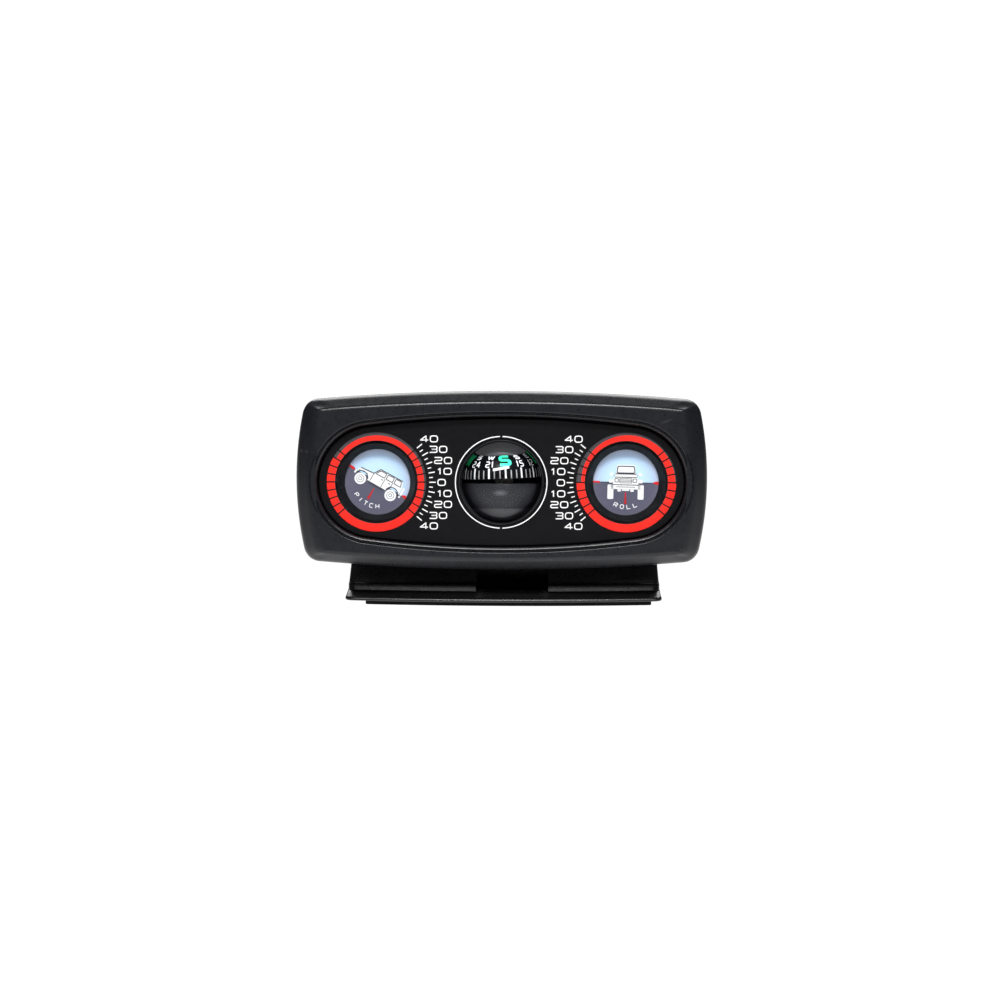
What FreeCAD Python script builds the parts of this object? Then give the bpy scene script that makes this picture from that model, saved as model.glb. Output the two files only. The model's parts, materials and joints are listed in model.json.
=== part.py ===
import FreeCAD, Part
import Sketcher
import math
import os
from FreeCAD import Placement, Rotation
from FreeCAD import Vector as V

# Dashboard inclinometer: a tilting housing with a pitch dial, a roll dial and a
# ball compass, on a flared base with an adhesive pad.
#
# Row frame: +Z up, +X to the right as the driver sees it, the dials face -Y.
# The origin lies on the adhesive pad's underside, in the object's middle plane.
# Housing frame: origin at the middle of the bezel's front face, X to the right,
# Y into the housing (depth) and Z up, leaned back by tilt_back degrees.

doc = FreeCAD.newDocument("inclinometer")
sheet = doc.addObject("Spreadsheet::Sheet", "dims")


class Num:
    """A size: its value now, and the sheet formula that gives it."""

    def __init__(self, value, text):
        self.value, self.text = float(value), text

    @staticmethod
    def of(a):
        return a if isinstance(a, Num) else Num(a, "%.6f" % a)

    def __add__(self, b):
        b = Num.of(b)
        return Num(self.value + b.value, "(%s + %s)" % (self.text, b.text))

    def __radd__(self, b):
        return Num.of(b) + self

    def __sub__(self, b):
        b = Num.of(b)
        return Num(self.value - b.value, "(%s - %s)" % (self.text, b.text))

    def __rsub__(self, b):
        return Num.of(b) - self

    def __mul__(self, b):
        b = Num.of(b)
        return Num(self.value * b.value, "(%s * %s)" % (self.text, b.text))

    def __rmul__(self, b):
        return Num.of(b) * self

    def __truediv__(self, b):
        b = Num.of(b)
        return Num(self.value / b.value, "(%s / %s)" % (self.text, b.text))

    def __neg__(self):
        return Num(-self.value, "(0 - %s)" % self.text)


def root(a):
    return Num(math.sqrt(a.value), "sqrt(%s)" % a.text)


row = [0]


def size(alias, value, note):
    """Adds one driving dimension to the sheet and returns it."""
    row[0] += 1
    sheet.set("A%d" % row[0], note)
    sheet.set("B%d" % row[0], "%.6f" % value)
    sheet.setAlias("B%d" % row[0], alias)
    return Num(value, "dims.%s" % alias)


def val(a):
    return a.value if isinstance(a, Num) else float(a)


def bind(obj, prop, a):
    """Sets a property from the sheet, or to a plain number."""
    if isinstance(a, Num):
        obj.setExpression(prop, a.text)
    elif "." in prop:
        obj.setExpression(prop, "%.6f" % a)
    else:
        setattr(obj, prop, a)


# ---------------------------------------------------------------- dimensions
tilt_back = size("tilt_back", 6.0, "lean of the housing at rest, degrees")
face_y = size("face_y", -24.0, "bezel front face, middle, Y")
face_z = size("face_z", 40.0, "bezel front face, middle, Z")

half_wide = size("half_wide", 65.0, "housing half width")
high_top = size("high_top", 28.85, "housing top above the middle")
high_bot = size("high_bot", -27.6, "housing bottom below the middle")
arch_rad = size("arch_rad", 690.0, "radius of the top and bottom edges")
side_rad = size("side_rad", 104.0, "radius of the side edges")
corner_rad = size("corner_rad", 5.5, "radius of the silhouette corners")
mid_high = size("mid_high", 1.6, "height of the side arcs' middle")
slope_deep = size("slope_deep", 4.5, "depth of the bezel's sloped border")
slope_top = size("slope_top", 3.95, "border width, top")
slope_bot = size("slope_bot", 3.2, "border width, bottom")
slope_side = size("slope_side", 4.9, "border width, sides")
face_corner = size("face_corner", 1.5, "corner radius of the flat face")
bezel_deep = size("bezel_deep", 10.0, "bezel depth")
bezel_wall = size("bezel_wall", 2.2, "bezel wall")
front_wall = size("front_wall", 3.5, "bezel front wall")

oval_x = size("oval_x", 40.2, "centre of the oval's end arcs")
oval_end = size("oval_end", 17.25, "end radius of the face opening")
oval_arch = size("oval_arch", 325.75, "radius of the opening's long edges")
panel_edge = size("panel_edge", 1.35, "panel margin behind the opening")
panel_front = size("panel_front", 3.0, "depth of the panel's front")
panel_thick = size("panel_thick", 1.5, "panel thickness")

shell_inset = size("shell_inset", 0.5, "rear shell step inside the bezel")
shell_back = size("shell_back", 38.0, "depth where the back rounds off")
shell_end = size("shell_end", 40.0, "depth of the back face")
shell_wall = size("shell_wall", 2.0, "rear shell wall")
back_wide = size("back_wide", 57.5, "rear shell half width at the back")
back_top = size("back_top", 26.6, "rear shell top at the back")
back_bot = size("back_bot", -15.8, "rear shell bottom at the back")
back_corner = size("back_corner", 7.0, "rear shell corner radius at the back")
back_round = size("back_round", 2.0, "rounding of the back edge")

screw_x = size("screw_x", 50.0, "housing screws, X")
screw_z = size("screw_z", 19.5, "housing screws, Z")

dial_x = size("dial_x", 39.4, "dial axis from the middle")
window_rad = size("window_rad", 15.75, "dial window radius")
ring_out = size("ring_out", 15.7, "dial ring outer radius")
ring_in = size("ring_in", 13.05, "dial ring bore radius")
ring_front = size("ring_front", 3.3, "depth of the dial ring's front")
ring_flange = size("ring_flange", 16.6, "dial ring flange radius")
case_front = size("case_front", 5.2, "depth of the dial case's flange")
lens_rad = size("lens_rad", 13.0, "dial lens radius")
lens_front = size("lens_front", 3.5, "depth of the lens's front")
sight_rad = size("sight_rad", 10.4, "radius of the opening over the disc")
disc_rad = size("disc_rad", 10.9, "dial disc radius")
disc_front = size("disc_front", 8.4, "depth of the dial disc's front")
case_back = size("case_back", 12.0, "depth of the dial case's back")
case_rad = size("case_rad", 12.9, "dial case barrel radius")
ear_z = size("ear_z", 21.2, "dial case ears, distance from the dial axis")
shaft_rad = size("shaft_rad", 0.75, "dial and cross shaft radius")
bush_bore = size("bush_bore", 0.80, "bush bore radius")
bush_rad = size("bush_rad", 2.0, "bush outer radius")
arm_in = size("arm_in", 11.0, "bridge arm, inner face")
arm_out = size("arm_out", 12.8, "bridge arm, outer face")
cross_deep = size("cross_deep", 23.0, "depth of the cross shaft")
bob_rad = size("bob_rad", 9.2, "pendulum weight radius")

gear_teeth = size("gear_teeth", 16, "teeth of each mitre gear")
gear_rad = size("gear_rad", 4.4, "pitch radius of each mitre gear")
gear_face = size("gear_face", 2.0, "face width of the mitre gears")
gear_slack = size("gear_slack", 0.085, "tooth thinning for backlash")

ball_deep = size("ball_deep", 12.0, "depth of the compass ball's centre")
globe_rad = size("globe_rad", 13.0, "compass globe outer radius")
globe_wall = size("globe_wall", 0.55, "compass globe wall")
hole_rad = size("hole_rad", 13.8, "panel hole over the compass")
lip_rad = size("lip_rad", 12.7, "lip that holds the globe, bore radius")
cup_in = size("cup_in", 13.4, "compass cup mouth radius")
cup_out = size("cup_out", 14.9, "compass cup outer radius")
cup_back = size("cup_back", 26.0, "depth of the compass cup's back")
card_rad = size("card_rad", 9.8, "compass card radius")
card_thick = size("card_thick", 0.5, "compass card thickness")
card_low = size("card_low", 0.9, "card's lower edge above the ball's centre")
card_lean = size("card_lean", 2.0, "sideways lean of the card, degrees")
cup_ear = size("cup_ear", 23.3, "compass cup ears, distance from the middle")

pin_y = size("pin_y", 3.0, "tilt pin, Y")
pin_z = size("pin_z", 13.0, "tilt pin, Z")
pin_rad = size("pin_rad", 2.0, "tilt pin radius")
lug_bore = size("lug_bore", 2.05, "bore of the housing's lug")
lug_rad = size("lug_rad", 4.0, "lug barrel radius")
lug_half = size("lug_half", 9.9, "half width of the lug")
slot_half = size("slot_half", 11.6, "half width of the base's slot")
hinge_x = size("hinge_x", 3.35, "middle of the lug and the slot, X")
knuckle_rad = size("knuckle_rad", 3.8, "radius of the base's knuckles")
knuckle_long = size("knuckle_long", 7.0, "length of each knuckle")

pad_thick = size("pad_thick", 1.6, "adhesive pad thickness")
pad_half = size("pad_half", 45.6, "adhesive pad half width")
pad_x = size("pad_x", 2.15, "adhesive pad middle, X")
pad_front = size("pad_front", -20.0, "adhesive pad front edge, Y")
pad_rear = size("pad_rear", 18.0, "adhesive pad rear edge, Y")
base_x = size("base_x", 0.62, "base middle, X, beside the housing's middle")
base_half = size("base_half", 50.45, "base half width at the lip")
base_front = size("base_front", -23.0, "base front lip in the middle, Y")
base_rear = size("base_rear", 21.0, "base rear edge, Y")
base_arc = size("base_arc", 390.0, "radius of the base's front edge")
wall_half = size("wall_half", 49.8, "pedestal half width at its foot")
crown_half = size("crown_half", 48.9, "pedestal half width at its top")
wall_front = size("wall_front", -13.0, "pedestal front wall at its foot, Y")
wall_rear = size("wall_rear", 18.0, "pedestal rear wall at its foot, Y")
plate_thick = size("plate_thick", 1.5, "base plate thickness")
plate_front = size("plate_front", -16.5, "base plate front edge in the middle, Y")
plate_rear = size("plate_rear", 17.6, "base plate rear edge, Y")

doc.recompute()

EXPORT = []


# ---------------------------------------------------------------- helpers
def in_housing(obj, x=0.0, lean=None):
    """Puts an object that is drawn in the housing frame in its place."""
    angle = tilt_back if lean is None else lean
    obj.Placement = Placement(
        V(val(x), face_y.value, face_z.value), Rotation(V(-1, 0, 0), val(angle))
    )
    if isinstance(x, Num):
        obj.setExpression("Placement.Base.x", x.text)
    obj.setExpression("Placement.Base.y", face_y.text)
    obj.setExpression("Placement.Base.z", face_z.text)
    obj.setExpression("Placement.Rotation.Angle", Num.of(angle).text)


def node(obj, label):
    """Names an object as one of the pieces that are exported."""
    obj.Label = label
    EXPORT.append(obj)
    return obj


class Piece:
    """A PartDesign body, built from sketches on its own origin planes."""

    def __init__(self, name, label=None, several=False):
        self.body = doc.addObject("PartDesign::Body", name)
        self.body.AllowCompound = several
        self.count = 0
        if label:
            node(self.body, label)

    def plane(self, role):
        for f in self.body.Origin.OriginFeatures:
            if f.Role == role:
                return f
        raise RuntimeError(role)

    def sketch(self, role, offset=0.0):
        """offset is along +X for YZ, +Y for XZ and +Z for XY."""
        self.count += 1
        s = self.body.newObject(
            "Sketcher::SketchObject", "%s_sketch%d" % (self.body.Name, self.count)
        )
        s.AttachmentSupport = [(self.plane(role), "")]
        s.MapMode = "FlatFace"
        sign = -1.0 if role == "XZ_Plane" else 1.0
        s.AttachmentOffset = Placement(V(0, 0, sign * val(offset)), Rotation())
        if isinstance(offset, Num):
            s.setExpression("AttachmentOffset.Base.z", (sign * offset).text)
        return s

    def polygon(self, s, points):
        """A closed outline, each corner placed from the origin."""
        n0 = s.GeometryCount
        n = len(points)
        flat = [V(val(a), val(b), 0) for a, b in points]
        s.addGeometry([Part.LineSegment(flat[i], flat[(i + 1) % n]) for i in range(n)])
        for i in range(n):
            s.addConstraint(
                Sketcher.Constraint("Coincident", n0 + i, 2, n0 + (i + 1) % n, 1)
            )
        for i, (a, b) in enumerate(points):
            for word, axis, size_ in (("DistanceX", -2, a), ("DistanceY", -1, b)):
                if abs(val(size_)) < 1e-9:
                    s.addConstraint(
                        Sketcher.Constraint("PointOnObject", n0 + i, 1, axis)
                    )
                    continue
                k = s.addConstraint(
                    Sketcher.Constraint(word, -1, 1, n0 + i, 1, val(size_))
                )
                if isinstance(size_, Num):
                    s.setExpression("Constraints[%d]" % k, size_.text)

    def circle(self, s, x, z, r):
        g = s.addGeometry(Part.Circle(V(val(x), val(z), 0), V(0, 0, 1), val(r)))
        for word, axis, size_ in (("DistanceX", -2, x), ("DistanceY", -1, z)):
            if abs(val(size_)) < 1e-9:
                s.addConstraint(Sketcher.Constraint("PointOnObject", g, 3, axis))
                continue
            k = s.addConstraint(Sketcher.Constraint(word, -1, 1, g, 3, val(size_)))
            if isinstance(size_, Num):
                s.setExpression("Constraints[%d]" % k, size_.text)
        k = s.addConstraint(Sketcher.Constraint("Radius", g, val(r)))
        if isinstance(r, Num):
            s.setExpression("Constraints[%d]" % k, r.text)

    def arcs(self, s, rows):
        """A closed chain of tangent arcs: (centre x, centre z, radius, from, to)."""
        n0, n = s.GeometryCount, len(rows)
        for cx, cz, r, a0, a1 in rows:
            s.addGeometry(
                Part.ArcOfCircle(Part.Circle(V(cx, cz, 0), V(0, 0, 1), val(r)), a0, a1)
            )
        for i in range(n):
            s.addConstraint(
                Sketcher.Constraint("Coincident", n0 + i, 2, n0 + (i + 1) % n, 1)
            )
        for i, one in enumerate(rows):
            k = s.addConstraint(Sketcher.Constraint("Radius", n0 + i, val(one[2])))
            if isinstance(one[2], Num):
                s.setExpression("Constraints[%d]" % k, one[2].text)

    def feature(self, kind, s):
        self.count += 1
        f = self.body.newObject(
            "PartDesign::%s" % kind, "%s_%s%d" % (self.body.Name, kind, self.count)
        )
        f.Profile = s
        return f

    def pad(self, s, length, back=True, middle=False):
        """Along +Y from an XZ sketch, +X from YZ and +Z from XY, or the other way."""
        f = self.feature("Pad", s)
        bind(f, "Length", length)
        flip = s.AttachmentSupport[0][0].Role == "XZ_Plane"
        f.Reversed = flip if back else not flip
        if middle:
            f.SideType = "Symmetric"
        self.body.Tip = f
        return f

    def pocket(self, s, length, back=True, middle=False):
        """Cuts the same way as pad adds. The volume shows whether it cut."""
        doc.recompute()
        before = self.body.Shape.Volume
        f = self.feature("Pocket", s)
        bind(f, "Length", length)
        flip = s.AttachmentSupport[0][0].Role == "XZ_Plane"
        f.Reversed = (not flip) if back else flip
        if middle:
            f.SideType = "Symmetric"
        self.body.Tip = f
        doc.recompute()
        if not f.Shape.Volume < before - 1e-6:
            raise RuntimeError("pocket cuts nothing: " + f.Name)
        return f

    def turn(self, points, role="XY_Plane", axis="V_Axis", offset=0.0):
        """A solid of revolution: XY about V is the Y axis, XZ about V is Z, XY about H is X."""
        s = self.sketch(role, offset)
        self.polygon(s, points)
        f = self.body.newObject(
            "PartDesign::Revolution", "%s_turn%d" % (self.body.Name, self.count)
        )
        f.Profile = s
        f.ReferenceAxis = (s, [axis])
        f.Angle = 360.0
        self.body.Tip = f
        return f

    def loft(self, first, second, cut=False):
        self.count += 1
        kind = "SubtractiveLoft" if cut else "AdditiveLoft"
        f = self.body.newObject(
            "PartDesign::" + kind, "%s_loft%d" % (self.body.Name, self.count)
        )
        f.Profile = first
        f.Sections = [(second, [""])]
        f.Ruled = True
        self.body.Tip = f
        return f


def frame_outline(wide, top, bot, arch, side, corner, mid):
    """The housing's outline: four shallow arcs and four corner arcs, all tangent."""
    hw, t, b, ra, rs, rc, m = [val(a) for a in (wide, top, bot, arch, side, corner, mid)]
    tops, bots = (0.0, t - ra), (0.0, b + ra)
    right, left = (hw - rs, m), (rs - hw, m)

    def corner_centre(big, sidec, sx, sz):
        r1, r2 = ra - rc, rs - rc
        dx, dz = sidec[0] - big[0], sidec[1] - big[1]
        d = math.hypot(dx, dz)
        a = (r1 * r1 - r2 * r2 + d * d) / (2 * d)
        h_ = math.sqrt(max(r1 * r1 - a * a, 0.0))
        px, pz = big[0] + a * dx / d, big[1] + a * dz / d
        found = [
            (px + h_ * dz / d, pz - h_ * dx / d),
            (px - h_ * dz / d, pz + h_ * dx / d),
        ]
        return max(found, key=lambda q: sx * q[0] + sz * (q[1] - m))

    def ang(c, p):
        return math.atan2(p[1] - c[1], p[0] - c[0])

    c_rt = corner_centre(tops, right, 1, 1)
    c_lt = (-c_rt[0], c_rt[1])
    c_rb = corner_centre(bots, right, 1, -1)
    c_lb = (-c_rb[0], c_rb[1])
    a_side_t, a_top_r = ang(right, c_rt), ang(tops, c_rt)
    a_side_b, a_bot_r = ang(right, c_rb), ang(bots, c_rb)
    pi = math.pi
    return [
        (right[0], right[1], side, a_side_b, a_side_t),
        (c_rt[0], c_rt[1], corner, a_side_t, a_top_r),
        (tops[0], tops[1], arch, a_top_r, pi - a_top_r),
        (c_lt[0], c_lt[1], corner, pi - a_top_r, pi - a_side_t),
        (left[0], left[1], side, pi - a_side_t, pi - a_side_b),
        (c_lb[0], c_lb[1], corner, pi - a_side_b, pi - a_bot_r),
        (bots[0], bots[1], arch, -pi - a_bot_r, a_bot_r),
        (c_rb[0], c_rb[1], corner, a_bot_r, a_side_b),
    ]


def oval_outline(margin):
    """The face opening's outline, grown by a margin: two end arcs and two long arcs."""
    end, arch = oval_end + margin, oval_arch + margin
    c, re, ra = oval_x.value, end.value, arch.value
    low = -math.sqrt((ra - re) ** 2 - c * c)
    a = math.atan2(-low, c)
    pi = math.pi
    return [
        (c, 0.0, end, -a, a),
        (0.0, low, arch, a, pi - a),
        (-c, 0.0, end, pi - a, pi + a),
        (0.0, -low, arch, pi + a, 2 * pi - a),
    ]


def group(name, label, members):
    """Several like pieces as one node."""
    g = doc.addObject("Part::Compound", name)
    g.Links = members
    return node(g, label)


def cylinder(name, radius, length, base, turn=None):
    """A round bar that starts at base = (x, y, z) and runs along its turned Z axis."""
    c = doc.addObject("Part::Cylinder", name)
    bind(c, "Radius", radius)
    bind(c, "Height", length)
    c.Placement = Placement(V(*[val(b) for b in base]), turn or Rotation())
    for axis, b in zip("xyz", base):
        if isinstance(b, Num):
            c.setExpression("Placement.Base.%s" % axis, b.text)
    return c


ALONG_Y = Rotation(V(1, 0, 0), -90)
ALONG_MINUS_Y = Rotation(V(1, 0, 0), 90)
ALONG_X = Rotation(V(0, 1, 0), 90)


def screw(name, head_r, head_h, shank_r, shank_l, at, point):
    """A pan-head screw with a cross recess; at is the seat under its head."""
    if point == "-y":  # the shank runs towards -Y, the head stands at +Y
        shank = cylinder(name + "_shank", shank_r, shank_l, at, ALONG_MINUS_Y)
        head = cylinder(name + "_head", head_r, head_h, at, ALONG_Y)
        cross = [(2.4, 0.5), (0.5, 2.4)]
        boxes = []
        for i, (bx, bz) in enumerate(cross):
            b = doc.addObject("Part::Box", "%s_slot%d" % (name, i))
            k = val(head_r) / 2.6
            b.Length, b.Width, b.Height = bx * k * 1.1, 0.8, bz * k * 1.1
            b.Placement = Placement(
                V(
                    val(at[0]) - bx * k * 0.55,
                    val(at[1]) + val(head_h) - 0.6,
                    val(at[2]) - bz * k * 0.55,
                ),
                Rotation(),
            )
            boxes.append(b)
    else:  # "z": the shank runs towards +Z, the head hangs at -Z
        shank = cylinder(name + "_shank", shank_r, shank_l, at)
        head = cylinder(
            name + "_head",
            head_r,
            head_h,
            (at[0], at[1], at[2] - head_h),
        )
        boxes = []
    solid = doc.addObject("Part::Fuse", name + "_solid")
    solid.Base, solid.Tool = shank, head
    if not boxes:
        return solid
    both = doc.addObject("Part::Fuse", name + "_cross")
    both.Base, both.Tool = boxes
    cut = doc.addObject("Part::Cut", name)
    cut.Base, cut.Tool = solid, both
    return cut


# ---------------------------------------------------------------- front bezel
bezel = Piece("front_bezel_body", "front_bezel")
s_face = bezel.sketch("XZ_Plane", 0.0)
bezel.arcs(
    s_face,
    frame_outline(
        half_wide - slope_side,
        high_top - slope_top,
        high_bot + slope_bot,
        arch_rad,
        side_rad,
        face_corner,
        mid_high,
    ),
)
s_rim = bezel.sketch("XZ_Plane", slope_deep)
rim = frame_outline(
    half_wide, high_top, high_bot, arch_rad, side_rad, corner_rad, mid_high
)
bezel.arcs(s_rim, rim)
bezel.loft(s_face, s_rim)
s = bezel.sketch("XZ_Plane", slope_deep)
bezel.arcs(s, rim)
bezel.pad(s, bezel_deep - slope_deep)
# the hollow behind the front wall
s = bezel.sketch("XZ_Plane", front_wall)
bezel.arcs(
    s,
    frame_outline(
        half_wide - bezel_wall,
        high_top - bezel_wall,
        high_bot + bezel_wall,
        arch_rad - bezel_wall,
        side_rad - bezel_wall,
        corner_rad - bezel_wall,
        mid_high,
    ),
)
bezel.pocket(s, bezel_deep - front_wall)
# the oval face opening, and the panel's seat behind it
s = bezel.sketch("XZ_Plane", 0.0)
bezel.arcs(s, oval_outline(0.0))
bezel.pocket(s, front_wall)
s = bezel.sketch("XZ_Plane", panel_front)
bezel.arcs(s, oval_outline(panel_edge + 0.05))
bezel.pocket(s, front_wall - panel_front)
# bosses for the dial cases, the compass cup and the housing screws
for x, z, r, end in (
    (dial_x, ear_z, 2.2, case_front),
    (dial_x, -ear_z, 2.2, case_front),
    (-dial_x, ear_z, 2.2, case_front),
    (-dial_x, -ear_z, 2.2, case_front),
    (0.0, cup_ear, 1.9, panel_front + panel_thick),
    (0.0, -cup_ear, 1.9, panel_front + panel_thick),
    (screw_x, screw_z, 2.6, bezel_deep),
    (-screw_x, screw_z, 2.6, bezel_deep),
):
    s = bezel.sketch("XZ_Plane", front_wall)
    bezel.circle(s, x, z, r)
    bezel.pad(s, end - front_wall)
# hooks that hold the lower edge of the rear shell
for x0 in (-36.0, 24.0):
    s = bezel.sketch("XZ_Plane", 6.0)
    bezel.polygon(s, [(x0, -25.2), (x0 + 12, -25.2), (x0 + 12, -21.6), (x0, -21.6)])
    bezel.pad(s, bezel_deep - 6.0)
    s = bezel.sketch("XZ_Plane", bezel_deep)
    bezel.polygon(s, [(x0, -22.8), (x0 + 12, -22.8), (x0 + 12, -21.6), (x0, -21.6)])
    bezel.pad(s, 2.5)
# screw holes
s = bezel.sketch("XZ_Plane", case_front - 4.0)
for x in (dial_x, -dial_x):
    for z in (ear_z, -ear_z):
        bezel.circle(s, x, z, 0.9)
bezel.pocket(s, 4.0)
s = bezel.sketch("XZ_Plane", panel_front + panel_thick - 3.5)
for z in (cup_ear, -cup_ear):
    bezel.circle(s, 0.0, z, 0.9)
bezel.pocket(s, 3.5)
s = bezel.sketch("XZ_Plane", bezel_deep - 7.5)
for x in (screw_x, -screw_x):
    bezel.circle(s, x, screw_z, 1.25)
bezel.pocket(s, 7.5)
in_housing(bezel.body)

# ---------------------------------------------------------------- rear shell
shell = Piece("rear_shell_body", "rear_shell")


def shell_outline(inset, at_back):
    if at_back == 0:
        wide, top, bot, corner = (
            half_wide - shell_inset,
            high_top - shell_inset,
            high_bot + shell_inset,
            corner_rad,
        )
    else:
        extra = back_round if at_back == 2 else 0.0
        wide, top, bot, corner = (
            back_wide - extra,
            back_top - extra,
            back_bot + extra,
            back_corner - extra / 2.0 if at_back == 2 else back_corner,
        )
    return frame_outline(
        wide - inset,
        top - inset,
        bot + inset,
        arch_rad - inset,
        side_rad - inset,
        corner - inset,
        mid_high if at_back == 0 else (top + bot) / 2.0,
    )


s0 = shell.sketch("XZ_Plane", bezel_deep)
shell.arcs(s0, shell_outline(0.0, 0))
s1 = shell.sketch("XZ_Plane", shell_back)
shell.arcs(s1, shell_outline(0.0, 1))
shell.loft(s0, s1)
s1b = shell.sketch("XZ_Plane", shell_back)
shell.arcs(s1b, shell_outline(0.0, 1))
s2 = shell.sketch("XZ_Plane", shell_end)
shell.arcs(s2, shell_outline(0.0, 2))
shell.loft(s1b, s2)
c0 = shell.sketch("XZ_Plane", bezel_deep)
shell.arcs(c0, shell_outline(shell_wall, 0))
c1 = shell.sketch("XZ_Plane", shell_back)
shell.arcs(c1, shell_outline(shell_wall, 1))
shell.loft(c0, c1, cut=True)
# screw bosses
for x in (screw_x, -screw_x):
    s = shell.sketch("XZ_Plane", bezel_deep)
    shell.circle(s, x, screw_z, 3.0)
    shell.pad(s, shell_back - bezel_deep + 0.5)
# the lug that goes down into the base, with its barrel round the tilt pin.
# The pin's place in the housing frame:
t_ = math.radians(tilt_back.value)
dy, dz = pin_y.value - face_y.value, pin_z.value - face_z.value
pin_deep = Num(
    dy * math.cos(t_) - dz * math.sin(t_),
    "((dims.pin_y - dims.face_y) * cos(dims.tilt_back) - (dims.pin_z - dims.face_z) * sin(dims.tilt_back))",
)
pin_high = Num(
    dy * math.sin(t_) + dz * math.cos(t_),
    "((dims.pin_y - dims.face_y) * sin(dims.tilt_back) + (dims.pin_z - dims.face_z) * cos(dims.tilt_back))",
)
s = shell.sketch("YZ_Plane", hinge_x)
shell.polygon(
    s,
    [
        (pin_deep - lug_rad, pin_high),
        (pin_deep + lug_rad, pin_high),
        (pin_deep + 6.8, pin_high + 8.45),
        (pin_deep - 5.2, pin_high + 3.55),
    ],
)
shell.pad(s, 2 * lug_half, middle=True)
s = shell.sketch("YZ_Plane", hinge_x)
shell.circle(s, pin_deep, pin_high, lug_rad)
shell.pad(s, 2 * lug_half, middle=True)
s = shell.sketch("YZ_Plane", hinge_x)
shell.circle(s, pin_deep, pin_high, lug_bore)
shell.pocket(s, 2 * lug_half + 2.0, middle=True)
# screw holes and their counterbores in the back
s = shell.sketch("XZ_Plane", bezel_deep)
for x in (screw_x, -screw_x):
    shell.circle(s, x, screw_z, 1.25)
shell.pocket(s, shell_end - bezel_deep)
s = shell.sketch("XZ_Plane", shell_end - 5.0)
for x in (screw_x, -screw_x):
    shell.circle(s, x, screw_z, 2.7)
shell.pocket(s, 5.0)
in_housing(shell.body)

housing_screws = []
for i, x in enumerate((screw_x, -screw_x)):
    housing_screws.append(
        screw(
            "housing_screw_%d" % i,
            2.6,
            2.2,
            1.25,
            shell_end - 5.0 - (bezel_deep - 7.5),
            (x, shell_end - 5.0, screw_z),
            "-y",
        )
    )
g = group("housing_screws_group", "housing_screws", housing_screws)
in_housing(g)

# ---------------------------------------------------------------- face panel
panel = Piece("face_panel_body", "face_panel")
s = panel.sketch("XZ_Plane", panel_front)
panel.arcs(s, oval_outline(panel_edge))
panel.circle(s, dial_x, 0.0, window_rad)
panel.circle(s, -dial_x, 0.0, window_rad)
panel.circle(s, 0.0, 0.0, hole_rad)
panel.pad(s, panel_thick)
in_housing(panel.body)

# ---------------------------------------------------------------- dials
panel_back = panel_front + panel_thick


def dial_ring(label, x):
    p = Piece(label + "_body", label)
    p.turn(
        [
            (ring_in, ring_front),
            (ring_out, ring_front),
            (ring_out, panel_back),
            (ring_flange, panel_back),
            (ring_flange, case_front),
            (ring_in, case_front),
        ]
    )
    in_housing(p.body, x)


def dial_lens(label, x):
    p = Piece(label + "_body", label)
    p.turn(
        [
            (0.0, lens_front),
            (lens_rad - 0.3, lens_front),
            (lens_rad, lens_front + 0.3),
            (lens_rad, panel_back),
            (0.0, panel_back),
        ]
    )
    in_housing(p.body, x)


def dial_case(label, x, boss_end):
    p = Piece(label + "_body", label)
    p.turn(
        [
            (lens_rad - 0.8, panel_back),
            (ring_in - 0.1, panel_back),
            (ring_in - 0.1, case_front),
            (ring_flange, case_front),
            (ring_flange, case_front + 1.6),
            (case_rad, case_front + 1.6),
            (case_rad, case_back),
            (3.4, case_back),
            (3.4, boss_end),
            (bush_rad, boss_end),
            (bush_rad, case_back - 1.4),
            (disc_rad + 0.4, case_back - 1.4),
            (disc_rad + 0.4, disc_front - 0.7),
            (sight_rad, disc_front - 0.7),
            (sight_rad, disc_front - 1.0),
        ]
    )
    for sign in (1.0, -1.0):
        s = p.sketch("XZ_Plane", case_front)
        a, b = (15.5, ear_z) if sign > 0 else (-ear_z, -15.5)
        p.polygon(s, [(-2.4, a), (2.4, a), (2.4, b), (-2.4, b)])
        p.pad(s, 1.6)
        s = p.sketch("XZ_Plane", case_front)
        p.circle(s, 0.0, sign * ear_z, 2.4)
        p.pad(s, 1.6)
    s = p.sketch("XZ_Plane", case_front)
    p.circle(s, 0.0, ear_z, 0.9)
    p.circle(s, 0.0, -ear_z, 0.9)
    p.pocket(s, 1.6)
    s = p.sketch("XZ_Plane", case_back - 1.2)
    p.circle(s, 0.0, 8.0, 0.7)
    p.circle(s, 0.0, -8.0, 0.7)
    p.pocket(s, 1.2)
    in_housing(p.body, x)


def dial_disc(label, x):
    p = Piece(label + "_body", label)
    p.turn(
        [
            (0.0, disc_front),
            (disc_rad, disc_front),
            (disc_rad, disc_front + 1.0),
            (2.0, disc_front + 1.0),
            (2.0, disc_front + 1.7),
            (shaft_rad, disc_front + 1.7),
            (shaft_rad, disc_front + 0.4),
            (0.0, disc_front + 0.4),
        ]
    )
    in_housing(p.body, x)


def rod(label, x, start, end):
    """A dial's shaft, along the depth."""
    p = Piece(label + "_body", label)
    p.turn([(0.0, start), (shaft_rad, start), (shaft_rad, end), (0.0, end)])
    in_housing(p.body, x)


def tube(name, r_in, r_out, start, end, role="XY_Plane", axis="V_Axis"):
    p = Piece(name)
    if axis == "V_Axis":
        p.turn([(r_in, start), (r_out, start), (r_out, end), (r_in, end)], role)
    else:
        p.turn([(start, r_in), (start, r_out), (end, r_out), (end, r_in)], role, axis)
    return p.body


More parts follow.
